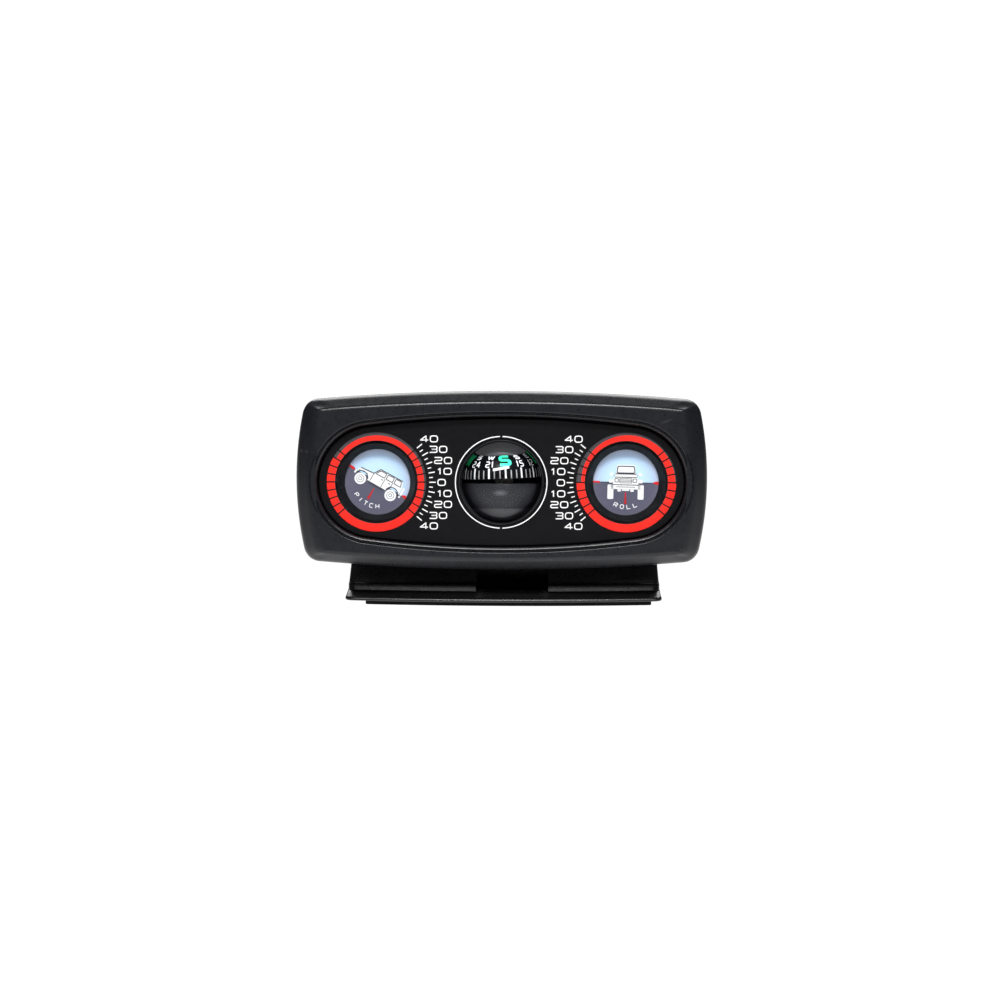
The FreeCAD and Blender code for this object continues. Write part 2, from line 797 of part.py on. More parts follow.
pitch_x, roll_x = -dial_x, dial_x
pitch_boss, roll_boss = case_back + 4.0, case_back + 2.0
dial_ring("pitch_ring", pitch_x)
dial_ring("roll_ring", roll_x)
dial_lens("pitch_lens", pitch_x)
dial_lens("roll_lens", roll_x)
dial_case("pitch_case", pitch_x, pitch_boss)
dial_case("roll_case", roll_x, roll_boss)
dial_disc("pitch_disc", pitch_x)
dial_disc("roll_disc", roll_x)

# roll: one shaft carries the disc in front and its weight behind
rod("roll_shaft", roll_x, disc_front + 0.4, case_back + 12.4)
g = group(
    "roll_bushes_group",
    "roll_bushes",
    [
        tube("roll_bush_front", bush_bore, bush_rad, disc_front + 1.8, roll_boss),
        tube("roll_bush_rear", bush_bore, bush_rad, case_back + 9.6, case_back + 12.0),
    ],
)
in_housing(g, roll_x)

p = Piece("roll_weight_body", "roll_weight")
s = p.sketch("XZ_Plane", case_back + 2.9)
p.circle(s, 0.0, 0.0, bob_rad + 0.8)
p.pad(s, 4.2)
s = p.sketch("XZ_Plane", case_back + 2.9)
p.polygon(s, [(-12.0, -1.0), (12.0, -1.0), (12.0, 12.0), (-12.0, 12.0)])
p.pocket(s, 4.2)
s = p.sketch("XZ_Plane", case_back + 2.6)
p.circle(s, 0.0, 0.0, 2.4)
p.pad(s, 5.0)
s = p.sketch("XZ_Plane", case_back + 2.6)
p.circle(s, 0.0, 0.0, shaft_rad)
p.pocket(s, 5.0)
in_housing(p.body, roll_x)


def bridge(label, x, arm_end, plate):
    """A ring on the back of the dial case, with two arms that carry the rear bearings."""
    p = Piece(label + "_body", label)
    p.turn(
        [
            (3.45, case_back),
            (arm_out, case_back),
            (arm_out, case_back + 1.4),
            (3.45, case_back + 1.4),
        ]
    )
    s = p.sketch("XZ_Plane", case_back)
    p.circle(s, 0.0, 8.0, 0.7)
    p.circle(s, 0.0, -8.0, 0.7)
    p.pocket(s, 1.4)
    for sign in (1.0, -1.0):
        s = p.sketch("XZ_Plane", case_back)
        a, b = (arm_in, arm_out) if sign > 0 else (-arm_out, -arm_in)
        p.polygon(s, [(a, -3.0), (b, -3.0), (b, 3.0), (a, 3.0)])
        p.pad(s, arm_end - case_back)
    if plate:
        s = p.sketch("XZ_Plane", arm_end)
        p.polygon(
            s, [(-arm_out, -3.0), (arm_out, -3.0), (arm_out, 3.0), (-arm_out, 3.0)]
        )
        p.pad(s, 1.6)
        s = p.sketch("XZ_Plane", arm_end)
        p.circle(s, 0.0, 0.0, bush_rad)
        p.pocket(s, 1.6)
    else:
        s = p.sketch("YZ_Plane", 0.0)
        p.circle(s, cross_deep, 0.0, 1.6)
        p.pocket(s, 40.0, middle=True)
    in_housing(p.body, x)


bridge("roll_bridge", roll_x, case_back + 10.0, True)
bridge("pitch_bridge", pitch_x, cross_deep + 3.2, False)

# pitch: the weight swings on a cross shaft, and mitre gears turn the disc's shaft
rod("pitch_shaft", pitch_x, disc_front + 0.4, cross_deep - 3.6)
cross_y = cross_deep
g = group(
    "pitch_bushes_group",
    "pitch_bushes",
    [tube("pitch_bush_front", bush_bore, bush_rad, disc_front + 1.8, pitch_boss)]
    + [
        tube("pitch_bush_%d" % i, bush_bore, 1.6, a, b, "XY_Plane", "H_Axis")
        for i, (a, b) in enumerate(((-arm_out, -arm_in + 0.3), (arm_in - 0.3, arm_out)))
    ],
)
for member in g.Links[1:]:
    member.Placement.Base = V(0, cross_deep.value, 0)
    member.setExpression("Placement.Base.y", cross_deep.text)
in_housing(g, pitch_x)

p = Piece("cross_shaft_body", "cross_shaft")
p.turn(
    [
        (-(arm_out - 0.1), 0.0),
        (-(arm_out - 0.1), shaft_rad),
        (arm_out - 0.1, shaft_rad),
        (arm_out - 0.1, 0.0),
    ],
    "XY_Plane",
    "H_Axis",
)
# the cross shaft's middle in the row frame
cross_row_y = Num(
    face_y.value + cross_deep.value * math.cos(t_),
    "(dims.face_y + dims.cross_deep * cos(dims.tilt_back))",
)
cross_row_z = Num(
    face_z.value - cross_deep.value * math.sin(t_),
    "(dims.face_z - dims.cross_deep * sin(dims.tilt_back))",
)


def on_cross(obj):
    """In place on the cross shaft, hanging straight down whatever the housing's lean."""
    obj.Placement = Placement(
        V(pitch_x.value, cross_row_y.value, cross_row_z.value), Rotation()
    )
    obj.setExpression("Placement.Base.x", pitch_x.text)
    obj.setExpression("Placement.Base.y", cross_row_y.text)
    obj.setExpression("Placement.Base.z", cross_row_z.text)


on_cross(p.body)

p = Piece("pitch_weight_body", "pitch_weight")
s = p.sketch("YZ_Plane", -9.7)
p.circle(s, 0.0, 0.0, bob_rad)
p.pad(s, 4.2)
s = p.sketch("YZ_Plane", -9.7)
p.polygon(s, [(-12.0, -1.0), (12.0, -1.0), (12.0, 12.0), (-12.0, 12.0)])
p.pocket(s, 4.2)
s = p.sketch("YZ_Plane", -10.1)
p.circle(s, 0.0, 0.0, 2.4)
p.pad(s, 5.0)
s = p.sketch("YZ_Plane", -10.1)
p.circle(s, 0.0, 0.0, shaft_rad)
p.pocket(s, 5.0)
on_cross(p.body)


def mitre_gear(phase, to):
    """A mitre gear that lies along +Z of its own frame, with its apex at the origin;
    to() takes a point of that frame to the dial's frame.
    Each tooth is a trapezoid at the large end that shrinks towards the apex."""
    n, rp, face = int(gear_teeth.value), gear_rad.value, gear_face.value
    cone = rp * math.sqrt(2.0)
    k = (cone - face) / cone
    add, ded = 0.42, 0.56
    pitch = 2 * math.pi * rp / n
    mid = pitch / 4 - gear_slack.value
    tan20, q = math.tan(math.radians(20)), 1 / math.sqrt(2.0)
    heights = [(-ded - 0.2, mid + (ded + 0.2) * tan20), (0.0, mid), (add, mid - add * 0.47)]
    ring = [(h_, -w_) for h_, w_ in heights] + [(h_, w_) for h_, w_ in reversed(heights)]
    inner = V(rp - ded * q, 0, rp + ded * q)
    along = to(V(0, 0, 1)) - to(V(0, 0, 0))
    solid = Part.makeCone(
        inner.x * k, inner.x, inner.z * (1 - k), to(V(0, 0, inner.z * k)), along
    )
    solid = solid.fuse(Part.makeCylinder(3.0, 2.0, to(V(0, 0, inner.z)), along))
    teeth = []
    for i in range(n):
        a = math.radians(phase) + 2 * math.pi * i / n
        ca, sa = math.cos(a), math.sin(a)

        def put(h_, w_, scale):
            x_, y_, z_ = rp + h_ * q, w_, rp - h_ * q
            return to(V(x_ * ca - y_ * sa, x_ * sa + y_ * ca, z_) * scale)

        wires = []
        for scale in (1.0, k):
            pts = [put(h_, w_, scale) for h_, w_ in ring]
            wires.append(Part.makePolygon(pts + [pts[0]]))
        teeth.append(Part.makeLoft(wires, True, True))
    solid = solid.multiFuse(teeth)
    bore = Part.makeCylinder(shaft_rad.value, 20, to(V(0, 0, -2)), along)
    return solid.cut(bore).removeSplitter()


# the disc's gear lies in front of the apex (towards -Y), the weight's to its right
disc_gear = doc.addObject("Part::Feature", "pitch_disc_gear_solid")
disc_gear.Shape = mitre_gear(0.0, lambda q: V(q.x, cross_deep.value - q.z, q.y))
node(disc_gear, "pitch_disc_gear")
in_housing(disc_gear, pitch_x)

weight_gear = doc.addObject("Part::Feature", "pitch_weight_gear_solid")
weight_gear.Shape = mitre_gear(
    180.0 / gear_teeth.value, lambda q: V(q.z, cross_deep.value + q.y, -q.x)
)
node(weight_gear, "pitch_weight_gear")
in_housing(weight_gear, pitch_x)

case_screws = []
for i, (x, z) in enumerate(
    ((dial_x, ear_z), (dial_x, -ear_z), (-dial_x, ear_z), (-dial_x, -ear_z))
):
    case_screws.append(
        screw(
            "case_screw_%d" % i, 1.7, 1.2, 0.9, 5.0, (x, case_front + 1.6, z), "-y"
        )
    )
g = group("dial_case_screws_group", "dial_case_screws", case_screws)
in_housing(g)

bridge_screws = [
    screw(
        "bridge_screw_%d" % i, 1.3, 0.8, 0.7, 2.6, (x, case_back + 1.4, z), "-y"
    )
    for i, (x, z) in enumerate(
        ((dial_x, 8.0), (dial_x, -8.0), (-dial_x, 8.0), (-dial_x, -8.0))
    )
]
g = group("bridge_screws_group", "bridge_screws", bridge_screws)
in_housing(g)

# ---------------------------------------------------------------- compass
p = Piece("compass_surround_body", "compass_surround")
p.turn(
    [
        (cup_in - 0.4, panel_front - 0.2),
        (hole_rad - 0.35, panel_front - 0.2),
        (hole_rad - 0.05, panel_front + 0.1),
        (hole_rad - 0.05, panel_back),
        (cup_in - 0.4, panel_back),
    ]
)
in_housing(p.body)

seat = root(globe_rad * globe_rad - lip_rad * lip_rad)
p = Piece("compass_cup_body", "compass_cup")
p.turn(
    [
        (cup_in, panel_back),
        (cup_out, panel_back),
        (cup_out, cup_back),
        (globe_rad + 0.15, cup_back),
        (globe_rad + 0.15, ball_deep - seat - 0.02),
        (lip_rad, ball_deep - seat - 0.02),
        (lip_rad, ball_deep - seat - 0.6),
        (cup_in, ball_deep - seat - 1.0),
    ]
)
for sign in (1.0, -1.0):
    s = p.sketch("XZ_Plane", panel_back)
    a, b = (14.0, cup_ear) if sign > 0 else (-cup_ear, -14.0)
    p.polygon(s, [(-1.9, a), (1.9, a), (1.9, b), (-1.9, b)])
    p.pad(s, 1.8)
    s = p.sketch("XZ_Plane", panel_back)
    p.circle(s, 0.0, sign * cup_ear, 1.9)
    p.pad(s, 1.8)
s = p.sketch("XZ_Plane", panel_back)
p.circle(s, 0.0, cup_ear, 0.9)
p.circle(s, 0.0, -cup_ear, 0.9)
p.pocket(s, 1.8)
in_housing(p.body)

cup_screws = [
    screw(
        "cup_screw_%d" % i, 1.6, 1.2, 0.9, 5.0, (0.0, panel_back + 1.8, z), "-y"
    )
    for i, z in enumerate((cup_ear, -cup_ear))
]
g = group("compass_screws_group", "compass_screws", cup_screws)
in_housing(g)

p = Piece("compass_cap_body", "compass_cap")
p.turn(
    [
        (0.0, cup_back),
        (cup_out, cup_back),
        (cup_out, cup_back + 1.6),
        (0.0, cup_back + 1.6),
    ]
)
in_housing(p.body)

seal_in = 4.0
p = Piece("compass_seal_body", "compass_seal")
p.turn(
    [
        (seal_in, 24.45),
        (8.5, 24.45),
        (8.5, cup_back),
        (seal_in, cup_back),
    ]
)
in_housing(p.body)


def sphere(name, radius, low=-90.0, high=90.0):
    b = doc.addObject("Part::Sphere", name)
    bind(b, "Radius", radius)
    b.Angle1, b.Angle2 = low, high
    b.Placement = Placement(V(0, ball_deep.value, 0), Rotation())
    b.setExpression("Placement.Base.y", ball_deep.text)
    return b


def cut(name, base, tool):
    c = doc.addObject("Part::Cut", name)
    c.Base, c.Tool = base, tool
    return c


def fuse(name, parts):
    f = doc.addObject("Part::MultiFuse", name)
    f.Shapes = parts
    return f


# the globe, with its fill hole at the back
globe_in = globe_rad - globe_wall
hollow = cut(
    "globe_hollow", sphere("globe_outside", globe_rad), sphere("globe_inside", globe_in)
)
globe = cut(
    "compass_globe_solid",
    hollow,
    cylinder(
        "globe_fill_hole", 1.2, 6.0, (0.0, ball_deep + 8.0, 0.0), ALONG_Y
    ),
)
node(globe, "compass_globe")
in_housing(globe)

plug = cylinder(
    "compass_plug_solid", 1.2, 1.1, (0.0, ball_deep + globe_in + 0.02, 0.0), ALONG_Y
)
holder = doc.addObject("Part::Compound", "compass_plug_group")
holder.Links = [plug]
node(holder, "compass_plug")
in_housing(holder)

# the bowl in the lower half, that carries the pivot
bowl_low = doc.addObject("Part::Box", "bowl_space")
bowl_low.Length, bowl_low.Width, bowl_low.Height = 30, 30, 15
bowl_low.Placement = Placement(V(-15, ball_deep.value - 15, -15.4), Rotation())
bowl_low.setExpression("Placement.Base.y", (ball_deep - 15.0).text)
bowl_ball = doc.addObject("Part::Common", "bowl_ball")
bowl_ball.Base, bowl_ball.Tool = sphere("bowl_outside", globe_in), bowl_low
bowl_dish = cut(
    "bowl_dish",
    bowl_ball,
    cylinder("bowl_hollow", 8.0, 5.0, (0.0, ball_deep, -5.4)),
)
bowl_post = cylinder("bowl_post", 1.4, 4.0, (0.0, ball_deep, -5.6))
bowl = cut(
    "compass_bowl_solid",
    fuse("bowl_all", [bowl_dish, bowl_post]),
    cylinder("bowl_pin_hole", 0.4, 4.0, (0.0, ball_deep, -5.2)),
)
node(bowl, "compass_bowl")
in_housing(bowl)

pivot_top = size("pivot_top", 4.0, "height of the pivot's point over the ball's centre")
doc.recompute()
pin_body = cylinder("pivot_bar", 0.4, pivot_top + 4.2, (0.0, ball_deep, -5.2))
tip = doc.addObject("Part::Cone", "pivot_tip")
tip.Radius1, tip.Radius2, tip.Height = 0.4, 0.03, 0.98
tip.Placement = Placement(V(0, ball_deep.value, pivot_top.value - 1.0), Rotation())
tip.setExpression("Placement.Base.y", ball_deep.text)
tip.setExpression("Placement.Base.z", (pivot_top - 1.0).text)
pivot = fuse("compass_pivot_solid", [pin_body, tip])
node(pivot, "compass_pivot")
in_housing(pivot)


# the card: a dome with a stem, a ring magnet and a jewel cup, a little leaned sideways
def on_card(obj):
    lean = Rotation(V(-1, 0, 0), tilt_back.value).multiply(
        Rotation(V(0, 1, 0), -card_lean.value)
    )
    start = Placement(
        V(0, face_y.value, face_z.value), Rotation(V(-1, 0, 0), tilt_back.value)
    ).multVec(V(0, ball_deep.value, 0))
    obj.Placement = Placement(start, lean)


def card_ball(name, radius, low):
    b = doc.addObject("Part::Sphere", name)
    bind(b, "Radius", radius)
    b.Angle1 = low
    return b


card_edge = math.degrees(math.asin(card_low.value / card_rad.value))
dome = cut(
    "card_dome",
    card_ball("card_outside", card_rad, card_edge),
    card_ball("card_inside", card_rad - card_thick, -90.0),
)
stem = cylinder("card_stem", 1.2, card_rad - pivot_top - 2.0, (0.0, 0.0, pivot_top + 1.7))
card = fuse("compass_card_solid", [dome, stem])
node(card, "compass_card")
on_card(card)

p = Piece("card_magnet_body", "card_magnet")
p.turn(
    [
        (1.2, pivot_top + 1.9),
        (5.2, pivot_top + 1.9),
        (5.2, pivot_top + 3.1),
        (1.2, pivot_top + 3.1),
    ],
    "XZ_Plane",
)
on_card(p.body)

p = Piece("card_jewel_body", "card_jewel")
p.turn(
    [
        (0.0, pivot_top + 0.06),
        (0.85, pivot_top - 0.6),
        (1.2, pivot_top - 0.6),
        (1.2, pivot_top + 1.7),
        (0.0, pivot_top + 1.7),
    ],
    "XZ_Plane",
)
on_card(p.body)

# ---------------------------------------------------------------- base
base = Piece("base_shell_body", "base_shell")


def base_outline(half, front, rear, arc, corner):
    """A rectangle with rounded corners whose front edge bows forward."""
    hw, yf, yr, ra, rc = val(half), val(front), val(rear), val(arc), val(corner)
    cy = yf + ra
    pi = math.pi
    # front corner: a circle inside the bowed edge and tangent to the side
    cx = hw - rc
    fy = cy - math.sqrt((ra - rc) ** 2 - cx * cx)
    a = math.atan2(fy - cy, cx)
    lines = [
        ("arc", (0.0, cy), arc, -pi - a, a),
        ("arc", (cx, fy), corner, a, 0.0),
        ("line", (hw, fy), (hw, yr - rc)),
        ("arc", (cx, yr - rc), corner, 0.0, pi / 2),
        ("line", (cx, yr), (-cx, yr)),
        ("arc", (-cx, yr - rc), corner, pi / 2, pi),
        ("line", (-hw, yr - rc), (-hw, fy)),
        ("arc", (-cx, fy), corner, -pi, -pi - a),
    ]
    return lines


def base_sketch(p, height, rows):
    s = p.sketch("XY_Plane", height)
    for one in rows:
        if one[0] == "line":
            s.addGeometry(Part.LineSegment(V(*one[1], 0), V(*one[2], 0)))
        else:
            s.addGeometry(
                Part.ArcOfCircle(
                    Part.Circle(V(*one[1], 0), V(0, 0, 1), val(one[2])), one[3], one[4]
                )
            )
    n = len(rows)
    for i in range(n):
        s.addConstraint(Sketcher.Constraint("Coincident", i, 2, (i + 1) % n, 1))
    for i, one in enumerate(rows):
        if one[0] == "arc":
            k = s.addConstraint(Sketcher.Constraint("Radius", i, val(one[2])))
            if isinstance(one[2], Num):
                s.setExpression("Constraints[%d]" % k, one[2].text)
    return s


lip_low = pad_thick
lip_high = pad_thick + 0.9
ridge_low = pad_thick + 2.1
ridge_high = pad_thick + 4.5
levels = [
    (lip_low, base_outline(base_half - 0.3, base_front + 0.3, base_rear - 0.3, base_arc, 2.2)),
    (lip_high, base_outline(base_half, base_front, base_rear, base_arc, 2.5)),
    (ridge_low, base_outline(base_half - 0.4, base_front + 6.6, base_rear - 1.4, base_arc, 2.5)),
    (ridge_high, base_outline(base_half - 0.5, base_front + 7.6, base_rear - 2.0, base_arc, 2.5)),
]
for (h0, low), (h1, high) in zip(levels[:-1], levels[1:]):
    a = base_sketch(base, h0, low)
    b = base_sketch(base, h1, high)
    base.loft(a, b)
foot = base_sketch(
    base, ridge_high, base_outline(wall_half, wall_front, wall_rear, 3000.0, 2.2)
)
crown = base_sketch(
    base,
    pad_thick + 15.4,
    base_outline(crown_half, wall_front + 5.6, wall_rear - 1.0, 3000.0, 2.2),
)
base.loft(foot, crown)
# the sloped top
s = base.sketch("YZ_Plane", 0.0)
base.polygon(
    s, [(-30.0, 9.79), (30.0, 15.67), (30.0, 30.0), (-30.0, 30.0)]
)
base.pocket(s, 130.0, middle=True)
# the hollow inside, open at the bottom
s = base.sketch("YZ_Plane", 0.0)
base.polygon(
    s,
    [
        (-10.9, lip_low + 0.5),
        (-10.9, lip_low + plate_thick),
        (-7.9, 9.9),
        (15.6, 12.2),
        (16.0, lip_low + 0.5),
    ],
)
base.pocket(s, 2 * (wall_half - 2.3), middle=True)
s = base_sketch(
    base,
    lip_low,
    base_outline(wall_half - 2.3, plate_front - 0.1, plate_rear + 0.1, base_arc, 1.1),
)
base.pocket(s, plate_thick)
# the slot for the lug: through the front wall and the top
hinge_in = hinge_x - base_x
s = base.sketch("YZ_Plane", hinge_in)
base.polygon(
    s,
    [
        (-18.0, ridge_low + 0.05),
        (14.0, ridge_low + 0.05),
        (14.0, 30.0),
        (-18.0, 30.0),
    ],
)
base.pocket(s, 2 * slot_half, middle=True)
# ribs beside the slot, from the front wall to the rear wall, and the knuckles
for sign in (1.0, -1.0):
    x0 = hinge_in + slot_half if sign > 0 else hinge_in - slot_half - 2.5
    s = base.sketch("YZ_Plane", x0)
    base.polygon(
        s,
        [
            (-12.0, lip_low + plate_thick + 1.6),
            (17.0, lip_low + plate_thick + 1.6),
            (16.5, 12.6),
            (-9.0, 10.3),
        ],
    )
    base.pad(s, 2.5)
    x0 = hinge_in + slot_half if sign > 0 else hinge_in - slot_half - knuckle_long
    s = base.sketch("YZ_Plane", x0)
    base.circle(s, pin_y, pin_z, knuckle_rad)
    base.pad(s, knuckle_long)
# the pin's bore: through the left knuckle, blind in the right one
s = base.sketch("YZ_Plane", hinge_in - slot_half - knuckle_long)
base.circle(s, pin_y, pin_z, pin_rad + 0.02)
base.pocket(s, 2 * slot_half + 2 * knuckle_long - 2.0)
# bosses for the base screws
for x in (40.0, -40.0):
    for y, top in ((-6.6, 11.2), (12.5, 12.9)):
        s = base.sketch("XY_Plane", lip_low + plate_thick)
        base.circle(s, x, y, 2.8)
        base.pad(s, top - lip_low - plate_thick)
        s = base.sketch("XY_Plane", lip_low + plate_thick)
        base.circle(s, x, y, 1.25)
        base.pocket(s, 6.0)


def beside(obj, x):
    """Moves an object that is drawn about the base's middle plane to its place."""
    obj.Placement = Placement(V(val(x), 0, 0), Rotation())
    obj.setExpression("Placement.Base.x", x.text)


beside(base.body, base_x)

plate = Piece("base_plate_body", "base_plate")
s = base_sketch(
    plate,
    pad_thick,
    base_outline(wall_half - 2.4, plate_front, plate_rear, base_arc, 1.0),
)
plate.pad(s, plate_thick)
s = plate.sketch("XY_Plane", pad_thick)
for x in (40.0, -40.0):
    for y in (-6.6, 12.5):
        plate.circle(s, x, y, 1.25)
plate.pocket(s, plate_thick)
s = plate.sketch("XY_Plane", pad_thick)
for x in (40.0, -40.0):
    for y in (-6.6, 12.5):
        plate.circle(s, x, y, 2.5)
plate.pocket(s, 0.9)
beside(plate.body, base_x)

members = [
    screw(
        "base_screw_%d" % i,
        2.5,
        0.9,
        1.25,
        plate_thick - 0.9 + 5.9,
        (x, y, pad_thick + 0.9),
        "z",
    )
    for i, (x, y) in enumerate(((40.0, -6.6), (40.0, 12.5), (-40.0, -6.6), (-40.0, 12.5)))
]
beside(group("base_screws_group", "base_screws", members), base_x)

pad_piece = Piece("adhesive_pad_body", "adhesive_pad")
s = base_sketch(
    pad_piece, 0.0, base_outline(pad_half, pad_front, pad_rear, base_arc, 1.0)
)
pad_piece.pad(s, pad_thick)
beside(pad_piece.body, pad_x)

pin_left = hinge_x - slot_half - knuckle_long
pin = cylinder(
    "tilt_pin_bar",
    pin_rad,
    2 * slot_half + 2 * knuckle_long - 2.2,
    (pin_left, pin_y, pin_z),
    ALONG_X,
)
holder = doc.addObject("Part::Compound", "tilt_pin_group")
holder.Links = [pin]
node(holder, "tilt_pin")

washers = []
for i, x0 in enumerate((hinge_x - slot_half + 0.02, hinge_x + lug_half + 0.1)):
    w_ = cut(
        "tilt_washer_%d" % i,
        cylinder("washer_disc_%d" % i, 3.7, slot_half - lug_half - 0.12, (x0, pin_y, pin_z), ALONG_X),
        cylinder("washer_hole_%d" % i, pin_rad, 4.0, (x0 - 1.0, pin_y, pin_z), ALONG_X),
    )
    washers.append(w_)
group("tilt_washers_group", "tilt_washers", washers)

# ---------------------------------------------------------------- check and write
doc.recompute()
bad = [
    o.Name for o in doc.Objects if any(w in ("Invalid", "Error") for w in o.State)
]
if bad:
    raise RuntimeError("failed objects: " + ", ".join(bad))
os.makedirs("parts", exist_ok=True)
for o in EXPORT:
    shape = o.Shape
    if shape.isNull() or not shape.isValid():
        raise RuntimeError("bad shape: " + o.Label)
    print(
        "%-20s solids %d volume %9.2f  %s"
        % (
            o.Label,
            len(shape.Solids),
            shape.Volume,
            " ".join(
                "%.1f..%.1f" % p_
                for p_ in (
                    (shape.BoundBox.XMin, shape.BoundBox.XMax),
                    (shape.BoundBox.YMin, shape.BoundBox.YMax),
                    (shape.BoundBox.ZMin, shape.BoundBox.ZMax),
                )
            ),
        )
    )
    shape.exportStep(os.path.join("parts", o.Label + ".step"))
print("pieces", len(EXPORT))
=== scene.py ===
"""Looks of the dashboard inclinometer: textured black mouldings with rounded edges,
printed scales, pendulum discs, ball compass, studio light and camera.
Lengths in this script are in millimetres; the mesh helpers turn them into metres."""

import json
import math

import bmesh
import bpy
import numpy as np
from mathutils import Matrix, Vector


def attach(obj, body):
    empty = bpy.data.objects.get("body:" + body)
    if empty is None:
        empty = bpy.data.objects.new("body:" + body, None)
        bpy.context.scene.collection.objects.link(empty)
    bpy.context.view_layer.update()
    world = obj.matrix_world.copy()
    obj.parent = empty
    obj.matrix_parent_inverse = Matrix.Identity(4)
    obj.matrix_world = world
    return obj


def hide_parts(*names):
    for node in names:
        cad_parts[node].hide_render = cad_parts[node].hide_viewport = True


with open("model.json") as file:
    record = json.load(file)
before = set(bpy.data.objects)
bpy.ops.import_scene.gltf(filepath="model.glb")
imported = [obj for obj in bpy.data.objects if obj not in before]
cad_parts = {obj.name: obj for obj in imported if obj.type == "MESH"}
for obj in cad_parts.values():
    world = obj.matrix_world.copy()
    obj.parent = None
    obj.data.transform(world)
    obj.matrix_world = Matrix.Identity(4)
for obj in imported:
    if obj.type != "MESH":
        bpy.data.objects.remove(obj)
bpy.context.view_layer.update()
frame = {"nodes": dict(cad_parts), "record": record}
nodes = frame["nodes"]
pi = math.pi

# ------------------------------------------------------------------ camera
YAW, ELEV, DIST = math.radians(1.277), math.radians(6.955), 700.0
TARGET = Vector((-0.305, -24.0, 34.434))
cam_data = bpy.data.cameras.new("camera")
cam = bpy.data.objects.new("camera", cam_data)
bpy.context.scene.collection.objects.link(cam)
away = Vector(
    (
        math.sin(YAW) * math.cos(ELEV),
        -math.cos(YAW) * math.cos(ELEV),
        math.sin(ELEV),
    )
)
cam.location = (TARGET + away * DIST) * 0.001
cam.rotation_euler = (-away).to_track_quat("-Z", "Y").to_euler()
cam_data.lens = 80.25
cam_data.sensor_width = 36.0
cam_data.clip_start = 0.01
bpy.context.scene.camera = cam

# ------------------------------------------------------------------ frames
C6, S6 = math.cos(math.radians(6.0)), math.sin(math.radians(6.0))
# housing frame (right, depth, up) to the row frame, in mm
HOUSING = Matrix(((1, 0, 0, 0), (0, C6, S6, -24), (0, -S6, C6, 40), (0, 0, 0, 1)))
WORLD = Matrix.Identity(4)


def turned(angle, x=0.0):
    """A dial's frame: the housing frame moved to x and turned clockwise by angle."""
    return HOUSING @ Matrix.Translation((x, 0, 0)) @ Matrix.Rotation(angle, 4, "Y")


# the compass card's frame: at the ball's centre, as the card hangs
ball = HOUSING @ Vector((0, 12.0, 0))
CARD = (
    Matrix.Translation(ball)
    @ Matrix.Rotation(math.radians(-6.0), 4, "X")
    @ Matrix.Rotation(math.radians(-2.0), 4, "Y")
)


# ------------------------------------------------------------------ mesh helpers
def make(name, verts, faces, mat, body, place=WORLD, sharp=35.0, replaces=(), slot=None):
    """A mesh piece from millimetre points, shaded smooth except at sharp edges."""
    m = bpy.data.meshes.new(name)
    pts = np.asarray(verts, dtype=float)
    R = np.array(place.to_3x3())
    t = np.array(place.translation)
    m.from_pydata(((pts @ R.T + t) * 0.001).tolist(), [], [list(map(int, f)) for f in faces])
    m.update()
    bm = bmesh.new()
    bm.from_mesh(m)
    bmesh.ops.recalc_face_normals(bm, faces=bm.faces)
    bm.to_mesh(m)
    bm.free()
    m.shade_smooth()
    if sharp is not None:
        m.set_sharp_from_angle(angle=math.radians(sharp))
    o = bpy.data.objects.new(name, m)
    bpy.context.scene.collection.objects.link(o)
    if mat:
        m.materials.append(mat)
    if body:
        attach(o, body)
    if replaces:
        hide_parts(*replaces)
    return o


def loft(rings, wrap=False, cap=(False, False)):
    """Closed rings joined by quads; wrap joins the last ring to the first."""
    n = len(rings[0])
    verts = [tuple(p) for r in rings for p in r]
    faces = []
    last = len(rings) if wrap else len(rings) - 1
    for k in range(last):
        a, b = k * n, ((k + 1) % len(rings)) * n
        for i in range(n):
            j = (i + 1) % n
            faces.append((a + i, a + j, b + j, b + i))
    if cap[0]:
        faces.append(tuple(range(n - 1, -1, -1)))
    if cap[1]:
        faces.append(tuple((len(rings) - 1) * n + i for i in range(n)))
    return verts, faces


def merge(parts):
    verts, faces = [], []
    for v, f in parts:
        off = len(verts)
        verts += [tuple(p) for p in v]
        faces += [tuple(i + off for i in one) for one in f]
    return verts, faces


def bezier(a, b, c, n):
    t = np.linspace(0, 1, n)[:, None]
    a, b, c = (np.asarray(p, dtype=float) for p in (a, b, c))
    return (1 - t) ** 2 * a + 2 * t * (1 - t) * b + t * t * c


def turn(profile, n=96, centre=(0.0, 0.0), wrap=True):
    """A profile of (radius, depth) turned about the depth axis."""
    a = np.linspace(0, 2 * pi, n, endpoint=False)
    rings = [
        np.stack([centre[0] + r * np.cos(a), np.full(n, w), centre[1] + r * np.sin(a)], 1)
        for r, w in profile
    ]
    return loft(rings, wrap=wrap)


